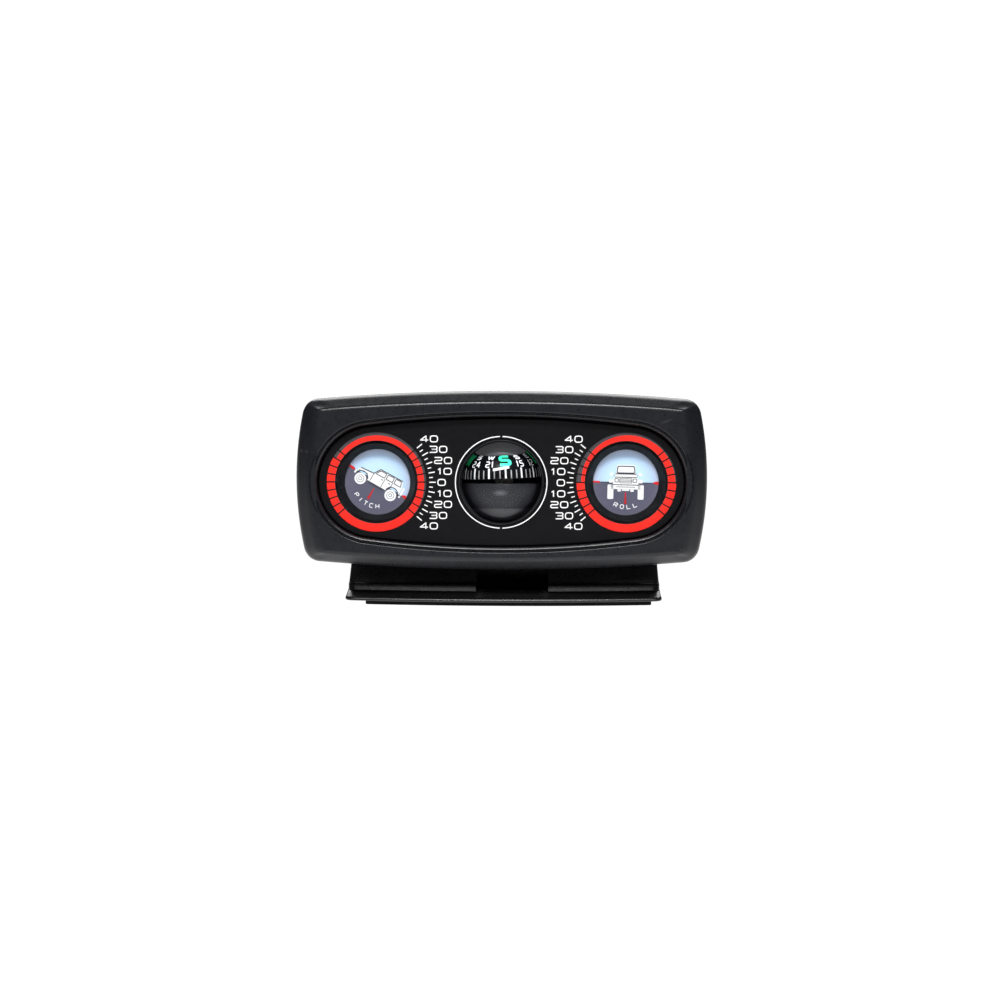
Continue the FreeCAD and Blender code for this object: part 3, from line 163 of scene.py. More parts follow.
# ------------------------------------------------------------------ outlines
def frame_arcs(hw, t, b, ra, rs, rc, m):
    tops, bots = (0.0, t - ra), (0.0, b + ra)
    right, left = (hw - rs, m), (rs - hw, m)

    def corner_centre(big, sidec, sx, sz):
        r1, r2 = ra - rc, rs - rc
        dx, dz = sidec[0] - big[0], sidec[1] - big[1]
        d = math.hypot(dx, dz)
        a = (r1 * r1 - r2 * r2 + d * d) / (2 * d)
        h = math.sqrt(max(r1 * r1 - a * a, 0.0))
        px, pz = big[0] + a * dx / d, big[1] + a * dz / d
        found = [
            (px + h * dz / d, pz - h * dx / d),
            (px - h * dz / d, pz + h * dx / d),
        ]
        return max(found, key=lambda q: sx * q[0] + sz * (q[1] - m))

    def ang(c, p):
        return math.atan2(p[1] - c[1], p[0] - c[0])

    rt = corner_centre(tops, right, 1, 1)
    rb = corner_centre(bots, right, 1, -1)
    st, tr = ang(right, rt), ang(tops, rt)
    sb, br = ang(right, rb), ang(bots, rb)
    return [
        (right[0], m, rs, sb, st),
        (rt[0], rt[1], rc, st, tr),
        (0.0, tops[1], ra, tr, pi - tr),
        (-rt[0], rt[1], rc, pi - tr, pi - st),
        (left[0], m, rs, pi - st, pi - sb),
        (-rb[0], rb[1], rc, pi - sb, pi - br),
        (0.0, bots[1], ra, -pi - br, br),
        (rb[0], rb[1], rc, br, sb),
    ]


def oval_arcs(margin):
    end, arch, c = 17.25 + margin, 325.75 + margin, 40.2
    low = -math.sqrt((arch - end) ** 2 - c * c)
    a = math.atan2(-low, c)
    return [
        (c, 0.0, end, -a, a),
        (0.0, low, arch, a, pi - a),
        (-c, 0.0, end, pi - a, pi + a),
        (0.0, -low, arch, pi + a, 2 * pi - a),
    ]


class Outline:
    """A star-shaped outline as radius over polar angle, about a centre."""

    def __init__(self, arcs, centre=(0.0, 0.0), n=2400):
        pts = []
        for cx, cz, r, a0, a1 in arcs:
            while a1 < a0:
                a1 += 2 * pi
            a = np.linspace(a0, a1, n)
            pts.append(np.stack([cx + r * np.cos(a), cz + r * np.sin(a)], 1))
        pts = np.concatenate(pts) - np.array(centre)
        th = np.arctan2(pts[:, 1], pts[:, 0]) % (2 * pi)
        order = np.argsort(th)
        self.th, self.r = th[order], np.hypot(pts[:, 0], pts[:, 1])[order]
        self.th = np.concatenate([self.th - 2 * pi, self.th, self.th + 2 * pi])
        self.r = np.concatenate([self.r] * 3)

    def at(self, th):
        return np.interp(th, self.th, self.r)

    def stretch(self, th):
        """Length along the ray for one millimetre square to the outline, and the normal."""
        e = 1e-3
        d = (self.at(th + e) - self.at(th - e)) / (2 * e)
        r = self.at(th)
        k = np.sqrt(1 + (d / r) ** 2)
        tx = d * np.cos(th) - r * np.sin(th)
        tz = d * np.sin(th) + r * np.cos(th)
        s = np.hypot(tx, tz)
        return k, tz / s, -tx / s


def angles_of(arcs, counts, centre=(0.0, 0.0)):
    out = []
    for (cx, cz, r, a0, a1), n in zip(arcs, counts):
        while a1 < a0:
            a1 += 2 * pi
        a = np.linspace(a0, a1, n, endpoint=False)
        out.append(
            np.arctan2(cz + r * np.sin(a) - centre[1], cx + r * np.cos(a) - centre[0])
        )
    return np.concatenate(out) % (2 * pi)


def thin_out(th, gap):
    th = np.sort(th)
    keep = [th[0]]
    for a in th[1:]:
        if a - keep[-1] > gap and th[0] + 2 * pi - a > gap * 0.5:
            keep.append(a)
    return np.array(keep)


# ------------------------------------------------------------------ materials
def mat_nodes(name):
    m = bpy.data.materials.new(name)
    m.use_nodes = True
    nt = m.node_tree
    nt.nodes.clear()
    out = nt.nodes.new("ShaderNodeOutputMaterial")
    return m, nt, out


def link(nt, a, b):
    nt.links.new(a, b)


def noise(nt, scale, detail=3.0, rough=0.55, coord=None, stretch=None):
    n = nt.nodes.new("ShaderNodeTexNoise")
    n.inputs["Scale"].default_value = scale
    n.inputs["Detail"].default_value = detail
    n.inputs["Roughness"].default_value = rough
    if coord is not None:
        src = coord
        if stretch:
            mp = nt.nodes.new("ShaderNodeMapping")
            mp.inputs["Scale"].default_value = stretch
            link(nt, coord, mp.inputs["Vector"])
            src = mp.outputs["Vector"]
        link(nt, src, n.inputs["Vector"])
    return n


def ramp(nt, fac, stops):
    r = nt.nodes.new("ShaderNodeValToRGB")
    els = r.color_ramp.elements
    while len(els) > len(stops):
        els.remove(els[-1])
    while len(els) < len(stops):
        els.new(0.5)
    for e, (p, c) in zip(els, stops):
        e.position = p
        e.color = (*c, 1.0) if len(c) == 3 else c
    link(nt, fac, r.inputs["Fac"])
    return r


def moulded(
    name,
    dark,
    light,
    rough=(0.42, 0.56),
    grain=3200.0,
    depth=0.00006,
    strength=0.25,
    spec=0.5,
    metal=0.0,
    coat=0.0,
    streak=None,
    mottle=140.0,
    edge=None,
):
    """A moulded, cast or printed surface: slow colour variation, varying gloss and a
    fine grain in the bump."""
    m, nt, out = mat_nodes(name)
    b = nt.nodes.new("ShaderNodeBsdfPrincipled")
    link(nt, b.outputs["BSDF"], out.inputs["Surface"])
    tc = nt.nodes.new("ShaderNodeTexCoord").outputs["Object"]
    slow = noise(nt, mottle, 4.0, 0.6, tc, streak)
    col = ramp(nt, slow.outputs["Fac"], [(0.32, dark), (0.68, light)])
    base = col.outputs["Color"]
    if edge:
        geo = nt.nodes.new("ShaderNodeNewGeometry")
        er = ramp(nt, geo.outputs["Pointiness"], [(0.545, (0, 0, 0)), (0.64, (1, 1, 1))])
        wear = noise(nt, 900.0, 3.0, 0.6, tc)
        mul = nt.nodes.new("ShaderNodeMath")
        mul.operation = "MULTIPLY"
        link(nt, er.outputs["Color"], mul.inputs[0])
        link(nt, wear.outputs["Fac"], mul.inputs[1])
        mx = nt.nodes.new("ShaderNodeMix")
        mx.data_type = "RGBA"
        link(nt, mul.outputs["Value"], mx.inputs[0])
        link(nt, base, mx.inputs[6])
        mx.inputs[7].default_value = (*edge, 1.0)
        base = mx.outputs[2]
    link(nt, base, b.inputs["Base Color"])
    mid = noise(nt, mottle * 4.0, 3.0, 0.6, tc, streak)
    mr = nt.nodes.new("ShaderNodeMapRange")
    mr.inputs["From Min"].default_value = 0.3
    mr.inputs["From Max"].default_value = 0.7
    mr.inputs["To Min"].default_value = rough[0]
    mr.inputs["To Max"].default_value = rough[1]
    link(nt, mid.outputs["Fac"], mr.inputs["Value"])
    link(nt, mr.outputs["Result"], b.inputs["Roughness"])
    b.inputs["Specular IOR Level"].default_value = spec
    b.inputs["Metallic"].default_value = metal
    b.inputs["Coat Weight"].default_value = coat
    if strength > 0:
        fine = noise(nt, grain, 2.0, 0.5, tc, streak)
        bump = nt.nodes.new("ShaderNodeBump")
        bump.inputs["Strength"].default_value = strength
        bump.inputs["Distance"].default_value = depth
        link(nt, fine.outputs["Fac"], bump.inputs["Height"])
        link(nt, bump.outputs["Normal"], b.inputs["Normal"])
    return m


def clear(name, tint=(1, 1, 1), ior=1.3, rough=0.03, haze=0.0):
    """A clear moulding: see-through, with a faint gloss that grows at its edges."""
    m, nt, out = mat_nodes(name)
    tr = nt.nodes.new("ShaderNodeBsdfTransparent")
    tr.inputs["Color"].default_value = (*tint, 1.0)
    gl = nt.nodes.new("ShaderNodeBsdfGlossy")
    tc = nt.nodes.new("ShaderNodeTexCoord").outputs["Object"]
    n = noise(nt, 300.0, 2.0, 0.5, tc)
    mr = nt.nodes.new("ShaderNodeMapRange")
    mr.inputs["To Min"].default_value = rough
    mr.inputs["To Max"].default_value = rough + 0.05
    link(nt, n.outputs["Fac"], mr.inputs["Value"])
    link(nt, mr.outputs["Result"], gl.inputs["Roughness"])
    fr = nt.nodes.new("ShaderNodeFresnel")
    fr.inputs["IOR"].default_value = ior
    mix = nt.nodes.new("ShaderNodeMixShader")
    link(nt, fr.outputs["Fac"], mix.inputs["Fac"])
    link(nt, tr.outputs["BSDF"], mix.inputs[1])
    link(nt, gl.outputs["BSDF"], mix.inputs[2])
    link(nt, mix.outputs["Shader"], out.inputs["Surface"])
    return m


def radial(name, centre, stops, rough=0.55, spread=11.0, mottle=0.0):
    """A colour that changes with the distance from a point of the part (mm)."""
    m, nt, out = mat_nodes(name)
    b = nt.nodes.new("ShaderNodeBsdfPrincipled")
    link(nt, b.outputs["BSDF"], out.inputs["Surface"])
    tc = nt.nodes.new("ShaderNodeTexCoord").outputs["Object"]
    d = nt.nodes.new("ShaderNodeVectorMath")
    d.operation = "DISTANCE"
    link(nt, tc, d.inputs[0])
    d.inputs[1].default_value = [c * 0.001 for c in centre]
    n = noise(nt, 260.0, 3.0, 0.6, tc)
    mr = nt.nodes.new("ShaderNodeMapRange")
    mr.inputs["From Max"].default_value = spread * 0.001
    link(nt, d.outputs["Value"], mr.inputs["Value"])
    ad = nt.nodes.new("ShaderNodeMath")
    ad.operation = "MULTIPLY_ADD"
    link(nt, n.outputs["Fac"], ad.inputs[0])
    ad.inputs[1].default_value = mottle
    link(nt, mr.outputs["Result"], ad.inputs[2])
    col = ramp(nt, ad.outputs["Value"], stops)
    link(nt, col.outputs["Color"], b.inputs["Base Color"])
    b.inputs["Roughness"].default_value = rough
    b.inputs["Specular IOR Level"].default_value = 0.3
    f = noise(nt, 5000.0, 2.0, 0.5, tc)
    bump = nt.nodes.new("ShaderNodeBump")
    bump.inputs["Strength"].default_value = 0.08
    bump.inputs["Distance"].default_value = 0.00002
    link(nt, f.outputs["Fac"], bump.inputs["Height"])
    link(nt, bump.outputs["Normal"], b.inputs["Normal"])
    return m


def lin(r, g, b):
    """A screen colour (0 to 255) as linear light."""
    return tuple(
        (c / 255 / 12.92) if c / 255 <= 0.04045 else ((c / 255 + 0.055) / 1.055) ** 2.4
        for c in (r, g, b)
    )


M = {}
M["housing"] = moulded(
    "housing_plastic", (0.0088, 0.0092, 0.0115), (0.0122, 0.0127, 0.0156),
    rough=(0.26, 0.32), grain=2600.0, depth=0.00004, strength=0.18, spec=0.37,
    edge=(0.045, 0.045, 0.048),
)
M["base"] = moulded(
    "base_plastic", (0.0045, 0.0045, 0.0050), (0.0070, 0.0070, 0.0078),
    rough=(0.26, 0.34), grain=2300.0, depth=0.00004, strength=0.22,
    edge=(0.045, 0.045, 0.047),
)
M["panel"] = moulded(
    "panel_plastic", (0.0014, 0.0013, 0.0022), (0.0022, 0.0021, 0.0034),
    rough=(0.36, 0.42), grain=5200.0, depth=0.00002, strength=0.10, spec=0.20,
)
M["case"] = moulded(
    "case_plastic", (0.0035, 0.0036, 0.0045), (0.0055, 0.0056, 0.0068),
    rough=(0.45, 0.55), grain=4200.0, depth=0.00003, strength=0.12, spec=0.22,
)
M["ring"] = moulded(
    "ring_plastic", lin(62, 60, 64), lin(73, 70, 74), rough=(0.45, 0.6),
    grain=3500.0, depth=0.00003, strength=0.15, spec=0.3,
)
M["red"] = moulded(
    "red_print", (0.86, 0.016, 0.008), (0.95, 0.022, 0.012), rough=(0.45, 0.58),
    grain=4500.0, depth=0.00001, strength=0.06, spec=0.25,
)
M["red_ink"] = moulded(
    "red_ink", (0.72, 0.02, 0.02), (0.82, 0.03, 0.025), rough=(0.5, 0.6),
    grain=4500.0, depth=0.00001, strength=0.05, spec=0.2,
)
M["needle"] = moulded(
    "needle_ink", (0.45, 0.025, 0.03), (0.55, 0.035, 0.04), rough=(0.5, 0.6),
    grain=4500.0, depth=0.00001, strength=0.05, spec=0.2,
)
M["white"] = moulded(
    "white_print", (0.88, 0.88, 0.88), (0.95, 0.95, 0.95), rough=(0.5, 0.62),
    grain=4500.0, depth=0.00001, strength=0.06, spec=0.25,
)
M["ink"] = moulded(
    "dark_ink", lin(40, 43, 54), lin(50, 54, 64), rough=(0.5, 0.62),
    grain=4500.0, depth=0.00001, strength=0.05, spec=0.2,
)
M["tick_black"] = moulded(
    "black_print", (0.006, 0.004, 0.004), (0.010, 0.006, 0.006), rough=(0.5, 0.6),
    grain=4500.0, depth=0.00001, strength=0.05, spec=0.2,
)
M["lens"] = clear("lens_clear", (0.99, 0.992, 0.995), 1.12, 0.05)
M["globe"] = clear("globe_clear", (0.96, 0.965, 0.975), 1.16, 0.08)


def liquid_lens(name, tint, ior, gloss_ior, rough):
    """The filled globe's outside: it bends what is seen through it, lets light through
    to what it holds, and has a faint gloss."""
    m, nt, out = mat_nodes(name)
    bend = nt.nodes.new("ShaderNodeBsdfRefraction")
    bend.inputs["Color"].default_value = (*tint, 1.0)
    bend.inputs["IOR"].default_value = ior
    bend.inputs["Roughness"].default_value = 0.0
    gl = nt.nodes.new("ShaderNodeBsdfGlossy")
    tc = nt.nodes.new("ShaderNodeTexCoord").outputs["Object"]
    n = noise(nt, 300.0, 2.0, 0.5, tc)
    mr = nt.nodes.new("ShaderNodeMapRange")
    mr.inputs["To Min"].default_value = rough
    mr.inputs["To Max"].default_value = rough + 0.05
    link(nt, n.outputs["Fac"], mr.inputs["Value"])
    link(nt, mr.outputs["Result"], gl.inputs["Roughness"])
    fr = nt.nodes.new("ShaderNodeFresnel")
    fr.inputs["IOR"].default_value = gloss_ior
    mix = nt.nodes.new("ShaderNodeMixShader")
    link(nt, fr.outputs["Fac"], mix.inputs["Fac"])
    link(nt, bend.outputs["BSDF"], mix.inputs[1])
    link(nt, gl.outputs["BSDF"], mix.inputs[2])
    through = nt.nodes.new("ShaderNodeBsdfTransparent")
    through.inputs["Color"].default_value = (*tint, 1.0)
    lp = nt.nodes.new("ShaderNodeLightPath")
    pick = nt.nodes.new("ShaderNodeMixShader")
    link(nt, lp.outputs["Is Shadow Ray"], pick.inputs["Fac"])
    link(nt, mix.outputs["Shader"], pick.inputs[1])
    link(nt, through.outputs["BSDF"], pick.inputs[2])
    link(nt, pick.outputs["Shader"], out.inputs["Surface"])
    return m


M["liquid"] = liquid_lens("filled_globe", (0.985, 0.988, 0.995), 1.40, 1.13, 0.10)
M["inside"] = clear("globe_inside", (0.99, 0.99, 0.995), 1.001, 0.1)
M["card_cap"] = moulded(
    "card_top", (0.130, 0.130, 0.142), (0.165, 0.165, 0.180), rough=(0.55, 0.65),
    grain=3600.0, depth=0.00002, strength=0.10, spec=0.05,
)
M["disc"] = moulded(
    "disc_white", (0.60, 0.61, 0.64), (0.68, 0.69, 0.72), rough=(0.5, 0.6),
    grain=3000.0, depth=0.00001, strength=0.05,
)


def bowl_painted_light_mat(name):
    """The bowl's colour is painted light: painted shade darkens it towards its rim and its top, a painted reflection
    makes it paler low down, and a painted highlight is added below its middle.
    """
    m, nt, out = mat_nodes(name)
    b = nt.nodes.new("ShaderNodeBsdfPrincipled")
    link(nt, b.outputs["BSDF"], out.inputs["Surface"])
    tc = nt.nodes.new("ShaderNodeTexCoord").outputs["Object"]
    off = nt.nodes.new("ShaderNodeVectorMath")
    off.operation = "SUBTRACT"
    link(nt, tc, off.inputs[0])
    off.inputs[1].default_value = tuple(c * 0.001 for c in ball)

    def dot(axis):
        d = nt.nodes.new("ShaderNodeVectorMath")
        d.operation = "DOT_PRODUCT"
        link(nt, off.outputs[0], d.inputs[0])
        d.inputs[1].default_value = tuple(c * 1000.0 for c in axis)
        return d.outputs["Value"]

    flat = nt.nodes.new("ShaderNodeCombineXYZ")
    side_, up_ = dot((1, 0, 0)), dot((0, S6, C6))
    link(nt, side_, flat.inputs["X"])
    link(nt, up_, flat.inputs["Y"])
    ln = nt.nodes.new("ShaderNodeVectorMath")
    ln.operation = "LENGTH"
    link(nt, flat.outputs[0], ln.inputs[0])

    def spread_(value, lo, hi):
        mr = nt.nodes.new("ShaderNodeMapRange")
        mr.inputs["From Min"].default_value = lo
        mr.inputs["From Max"].default_value = hi
        link(nt, value, mr.inputs["Value"])
        return mr.outputs["Result"]

    # painted light by height: a pale painted reflection low down, painted shade towards the top
    height = ramp(
        nt, spread_(up_, -12.0, 0.0),
        [(0.0, (0.50, 0.50, 0.52)), (0.16, (0.30, 0.30, 0.31)), (0.305, (0.165, 0.165, 0.172)),
         (0.335, (0.058, 0.058, 0.064)), (0.60, (0.038, 0.039, 0.045)), (0.95, (0.020, 0.021, 0.026))],
    )
    # painted shade: darker towards the bowl's rim
    painted_rim_shade = ramp(
        nt, spread_(ln.outputs["Value"], 9.6, 12.0),
        [(0.0, (1, 1, 1)), (0.46, (0.95, 0.95, 0.95)), (0.53, (0.34, 0.34, 0.37)), (1.0, (0.30, 0.30, 0.34))],
    )
    mul = nt.nodes.new("ShaderNodeMix")
    mul.data_type = "RGBA"
    mul.blend_type = "MULTIPLY"
    mul.inputs[0].default_value = 1.0
    link(nt, height.outputs["Color"], mul.inputs[6])
    link(nt, painted_rim_shade.outputs["Color"], mul.inputs[7])
    # painted highlight: a soft pale patch below the middle, added to the colour
    spot = nt.nodes.new("ShaderNodeVectorMath")
    spot.operation = "DISTANCE"
    squash = nt.nodes.new("ShaderNodeMapping")
    squash.inputs["Rotation"].default_value = (0, 0, math.radians(35))
    squash.inputs["Scale"].default_value = (0.62, 1.5, 1.0)
    link(nt, flat.outputs[0], squash.inputs["Vector"])
    link(nt, squash.outputs["Vector"], spot.inputs[0])
    ca, sa = math.cos(math.radians(35)), math.sin(math.radians(35))
    gx, gz = -0.2 * 0.62, -3.3 * 1.5
    spot.inputs[1].default_value = (gx * ca - gz * sa, gx * sa + gz * ca, 0.0)
    painted_glint = ramp(
        nt, spread_(spot.outputs["Value"], 0.0, 1.7), [(0.0, (0.13, 0.135, 0.15)), (1.0, (0, 0, 0))]
    )
    add = nt.nodes.new("ShaderNodeMix")
    add.data_type = "RGBA"
    add.blend_type = "ADD"
    add.inputs[0].default_value = 1.0
    link(nt, mul.outputs[2], add.inputs[6])
    link(nt, painted_glint.outputs["Color"], add.inputs[7])
    n = noise(nt, 420.0, 3.0, 0.6, tc)
    col = nt.nodes.new("ShaderNodeMix")
    col.data_type = "RGBA"
    col.blend_type = "MULTIPLY"
    col.inputs[0].default_value = 0.25
    link(nt, add.outputs[2], col.inputs[6])
    link(nt, n.outputs["Fac"], col.inputs[7])
    link(nt, col.outputs[2], b.inputs["Base Color"])
    mr = nt.nodes.new("ShaderNodeMapRange")
    mr.inputs["To Min"].default_value = 0.42
    mr.inputs["To Max"].default_value = 0.56
    link(nt, n.outputs["Fac"], mr.inputs["Value"])
    link(nt, mr.outputs["Result"], b.inputs["Roughness"])
    b.inputs["Specular IOR Level"].default_value = 0.25
    return m


M["cup_inside"] = moulded(
    "cup_grey", (0.014, 0.015, 0.019), (0.022, 0.023, 0.028), rough=(0.45, 0.6),
    grain=3000.0, depth=0.00002, strength=0.10, spec=0.3,
)
M["bowl"] = bowl_painted_light_mat("bowl_painted_shade_and_highlight")
# painted light: the card's grey top is painted paler towards its crown, where the housing's hood shades it
cap_nt = M["card_cap"].node_tree
cap_up = cap_nt.nodes.new("ShaderNodeVectorMath")
cap_up.operation = "DOT_PRODUCT"
link(cap_nt, cap_nt.nodes.new("ShaderNodeTexCoord").outputs["Object"], cap_up.inputs[0])
cap_up.inputs[1].default_value = (0.0, S6 * 1000.0, C6 * 1000.0)
cap_mr = cap_nt.nodes.new("ShaderNodeMapRange")
cap_zero = ball[1] * S6 + ball[2] * C6
cap_mr.inputs["From Min"].default_value = cap_zero + 7.2
cap_mr.inputs["From Max"].default_value = cap_zero + 8.9
link(cap_nt, cap_up.outputs["Value"], cap_mr.inputs["Value"])
cap_painted_light = ramp(
    cap_nt, cap_mr.outputs["Result"],
    [(0.0, (0.048, 0.048, 0.053)), (0.35, (0.065, 0.065, 0.072)), (0.70, (0.20, 0.20, 0.215)),
     (1.0, (0.50, 0.50, 0.53))],
)
for n_ in cap_nt.nodes:
    if n_.bl_idname == "ShaderNodeBsdfPrincipled":
        link(cap_nt, cap_painted_light.outputs["Color"], n_.inputs["Base Color"])
        # painted light: the card's top also glows faintly, though it is no lamp
        n_.inputs["Emission Color"].default_value = (0.55, 0.55, 0.58, 1.0)
        n_.inputs["Emission Strength"].default_value = 0.08
# painted highlight: the compass mouth's rounded edge is coloured a paler grey than the black around it
M["mouth"] = moulded(
    "mouth_edge_painted_highlight", (0.022, 0.022, 0.026), (0.034, 0.034, 0.038), rough=(0.4, 0.5),
    grain=3600.0, depth=0.00002, strength=0.10, spec=0.4,
)
M["card"] = moulded(
    "card_black", (0.003, 0.003, 0.004), (0.005, 0.005, 0.0065), rough=(0.42, 0.52),
    grain=3600.0, depth=0.00002, strength=0.10, spec=0.06,
)
M["mark"] = moulded(
    "card_white", (0.84, 0.84, 0.84), (0.93, 0.93, 0.93), rough=(0.5, 0.6),
    grain=4500.0, depth=0.00001, strength=0.05, spec=0.2,
)
M["mark_grey"] = moulded(
    "card_grey", (0.34, 0.34, 0.34), (0.44, 0.44, 0.44), rough=(0.5, 0.6),
    grain=4500.0, depth=0.00001, strength=0.05, spec=0.2,
)
M["mint"] = moulded(
    "card_green", (0.04, 0.78, 0.45), (0.06, 0.88, 0.54), rough=(0.5, 0.6),
    grain=4500.0, depth=0.00001, strength=0.05, spec=0.2,
)
# painted light: the card's marks and letters, and the lubber bar, glow faintly though they are no lamp, to lift them
# out of the hood's shade
for k_, tint, painted_glow in (
    ("mark", (0.90, 0.93, 1.0), 0.11), ("mark_grey", (0.9, 0.93, 1.0), 0.03), ("mint", (0.03, 0.80, 0.22), 0.08),
):
    for n_ in M[k_].node_tree.nodes:
        if n_.bl_idname == "ShaderNodeBsdfPrincipled":
            n_.inputs["Emission Color"].default_value = (*tint, 1.0)
            n_.inputs["Emission Strength"].default_value = painted_glow
M["brass"] = moulded(
    "turned_brass", (0.62, 0.42, 0.16), (0.74, 0.53, 0.24), rough=(0.22, 0.36),
    grain=2600.0, depth=0.00002, strength=0.12, metal=1.0, streak=(1.0, 18.0, 1.0),
)
M["steel"] = moulded(
    "zinc_steel", (0.46, 0.46, 0.47), (0.62, 0.62, 0.63), rough=(0.26, 0.42),
    grain=3000.0, depth=0.00002, strength=0.14, metal=1.0,
)
M["iron"] = moulded(
    "sintered_magnet", (0.030, 0.029, 0.030), (0.060, 0.058, 0.058), rough=(0.5, 0.7),
    grain=6000.0, depth=0.00006, strength=0.3, metal=0.3,
)
M["nylon"] = moulded(
    "nylon", (0.66, 0.63, 0.54), (0.76, 0.73, 0.64), rough=(0.38, 0.5),
    grain=2800.0, depth=0.00002, strength=0.12,
)
M["jewel"] = moulded(
    "jewel", (0.45, 0.02, 0.05), (0.60, 0.04, 0.08), rough=(0.06, 0.12),
    grain=2000.0, depth=0.00001, strength=0.03, coat=0.5,
)
# painted shade: a near-black, glossless colour put where there is only shadow
M["gap"] = moulded(
    "painted_shade_black", (0.0010, 0.0010, 0.0012), (0.0016, 0.0016, 0.0018), rough=(0.8, 0.95),
    grain=3000.0, depth=0.00002, strength=0.1, spec=0.0,
)
M["rubber"] = moulded(
    "rubber", (0.012, 0.012, 0.012), (0.022, 0.022, 0.022), rough=(0.65, 0.82),
    grain=3000.0, depth=0.00008, strength=0.35, spec=0.3,
)
M["foam"] = moulded(
    "closed_cell_foam", (0.004, 0.004, 0.0045), (0.009, 0.009, 0.0095),
    rough=(0.82, 0.95), grain=5200.0, depth=0.00012, strength=0.6, spec=0.15,
)

SLOT_MAT = {
    "housing_black": "housing",
    "base_black": "base",
    "panel_black": "panel",
    "case_black": "case",
    "ring_grey": "ring",
    "clear_plastic": "lens",
    "disc_print": "disc",
    "bowl_dark": "bowl",
    "card_dark": "card",
    "magnet_iron": "iron",
    "jewel": "jewel",
    "brass": "brass",
    "steel": "steel",
    "nylon": "nylon",
    "rubber_black": "rubber",
    "foam": "foam",
}
for row in frame["record"]["subparts"]:
    o = nodes[row["node"]]
    m = M[SLOT_MAT[row["material_slot"]]]
    if row["node"] == "compass_globe":
        m = M["globe"]
    # painted shade: the base plate takes the near-black shade colour, so the slot looks shadowed
    if row["node"] == "base_plate":
        m = M["gap"]
    if row["node"] == "compass_cup":
        m = M["cup_inside"]
    if o.material_slots:
        for s in o.material_slots:
            s.material = m
    else:
        o.data.materials.append(m)

# ------------------------------------------------------------------ front bezel
HALF, TOP, BOT, ARCH, SIDE, CORNER, MID = 65.0, 28.85, -27.6, 690.0, 104.0, 5.5, 1.6
face_arcs = frame_arcs(HALF - 4.9, TOP - 3.70, BOT + 3.2, ARCH, SIDE, 1.5, MID)
rim_arcs = frame_arcs(HALF, TOP, BOT, ARCH, SIDE, CORNER, MID)
inner_arcs = frame_arcs(
    HALF - 2.2, TOP - 2.2, BOT + 2.2, ARCH - 2.2, SIDE - 2.2, CORNER - 2.2, MID
)
theta = thin_out(
    np.concatenate(
        [
            angles_of(face_arcs, [70, 10, 170, 10, 70, 10, 170, 10]),
            angles_of(rim_arcs, [40, 22, 60, 22, 40, 22, 60, 22]),
            angles_of(oval_arcs(1.0), [110, 150, 110, 150]),
        ]
    ),
    math.radians(0.16),
)
ct, st_ = np.cos(theta), np.sin(theta)
face_o, rim_o, in_o = Outline(face_arcs), Outline(rim_arcs), Outline(inner_arcs)
r_face, r_rim, r_in = face_o.at(theta), rim_o.at(theta), in_o.at(theta)
k_face, nx_face, nz_face = face_o.stretch(theta)
k_rim, nx_rim, nz_rim = rim_o.stretch(theta)


def ring(r, w):
    return np.stack([r * ct, np.broadcast_to(w, r.shape), r * st_], 1)


def oval_r(o):
    return Outline(oval_arcs(o), n=1200).at(theta)


lip = [
    (1.40, 3.50), (1.40, 3.02), (1.36, 3.00), (0.06, 3.00), (0.0, 2.94), (0.0, 2.62),
    (0.05, 2.56), (0.50, 2.50), (0.55, 2.44), (0.55, 1.60), (0.56, 1.00), (0.60, 0.68),
    (0.68, 0.46), (0.80, 0.32), (0.95, 0.23), (1.11, 0.14), (1.24, 0.07), (1.36, 0.06),
    (1.45, 0.16), (1.52, 0.32), (1.58, 0.55), (1.66, 0.75), (1.80, 0.84), (1.95, 0.82),
    (2.06, 0.68), (2.12, 0.45), (2.17, 0.25), (2.24, 0.10), (2.34, 0.03), (2.46, 0.0),
    (2.62, 0.0), (2.95, 0.0),
]
above = np.clip(st_ * 3.0, 0, 1)  # 1 over the opening, 0 beside and under it


def lip_ring(o, w):
    near, far = oval_r(o), oval_r(o + 0.34 * min(max((1.3 - o) / 0.75, 0.0), 1.0))
    return ring(near + (far - near) * above * (1 if o > 0.5 else 0), w)


rings = [lip_ring(o, w) for o, w in lip]
side = np.clip((np.abs(nx_face) - 0.25) / 0.6, 0, 1)
side = side * side * (3 - 2 * side)
t1 = 0.75 + 1.05 * side  # rounding at the face's edge, small above, soft at the sides
t2 = np.where(nz_rim > 0.3, 1.9, 1.4) + 0.5 * side
width = r_rim - r_face
slope = np.sqrt((width / np.maximum(k_face, 1)) ** 2 + 4.5**2)
r_a = r_face - t1 * k_face
r0 = oval_r(2.95)
for f in (0.12, 0.35, 0.6, 0.82, 0.95):
    rings.append(ring(r0 + (r_a - r0) * f, 0.0))
s1 = t1 / slope
rc_, wc_ = r_face + width * s1, 4.5 * s1
for t in np.linspace(0, 1, 8):
    q = ((1 - t) ** 2, 2 * t * (1 - t), t * t)
    rings.append(ring(q[0] * r_a + q[1] * r_face + q[2] * rc_, q[2] * wc_))
s2 = 1 - t2 / slope
for f in (0.06, 0.3, 0.5, 0.7, 0.94):
    s = s1 + (s2 - s1) * f
    rings.append(ring(r_face + width * s, 4.5 * s))
for t in np.linspace(0, 1, 9):
    q = ((1 - t) ** 2, 2 * t * (1 - t), t * t)
    rr = q[0] * (r_face + width * s2) + (q[1] + q[2]) * r_rim
    ww = q[0] * 4.5 * s2 + q[1] * 4.5 + q[2] * (4.5 + t2)
    rings.append(ring(rr, ww))
for w in (6.6, 8.0, 9.3, 9.6):
    rings.append(ring(r_rim, w))
for d, w in ((0.05, 9.8), (0.18, 9.95), (0.4, 10.0)):
    rings.append(ring(r_rim - d * k_rim, w))
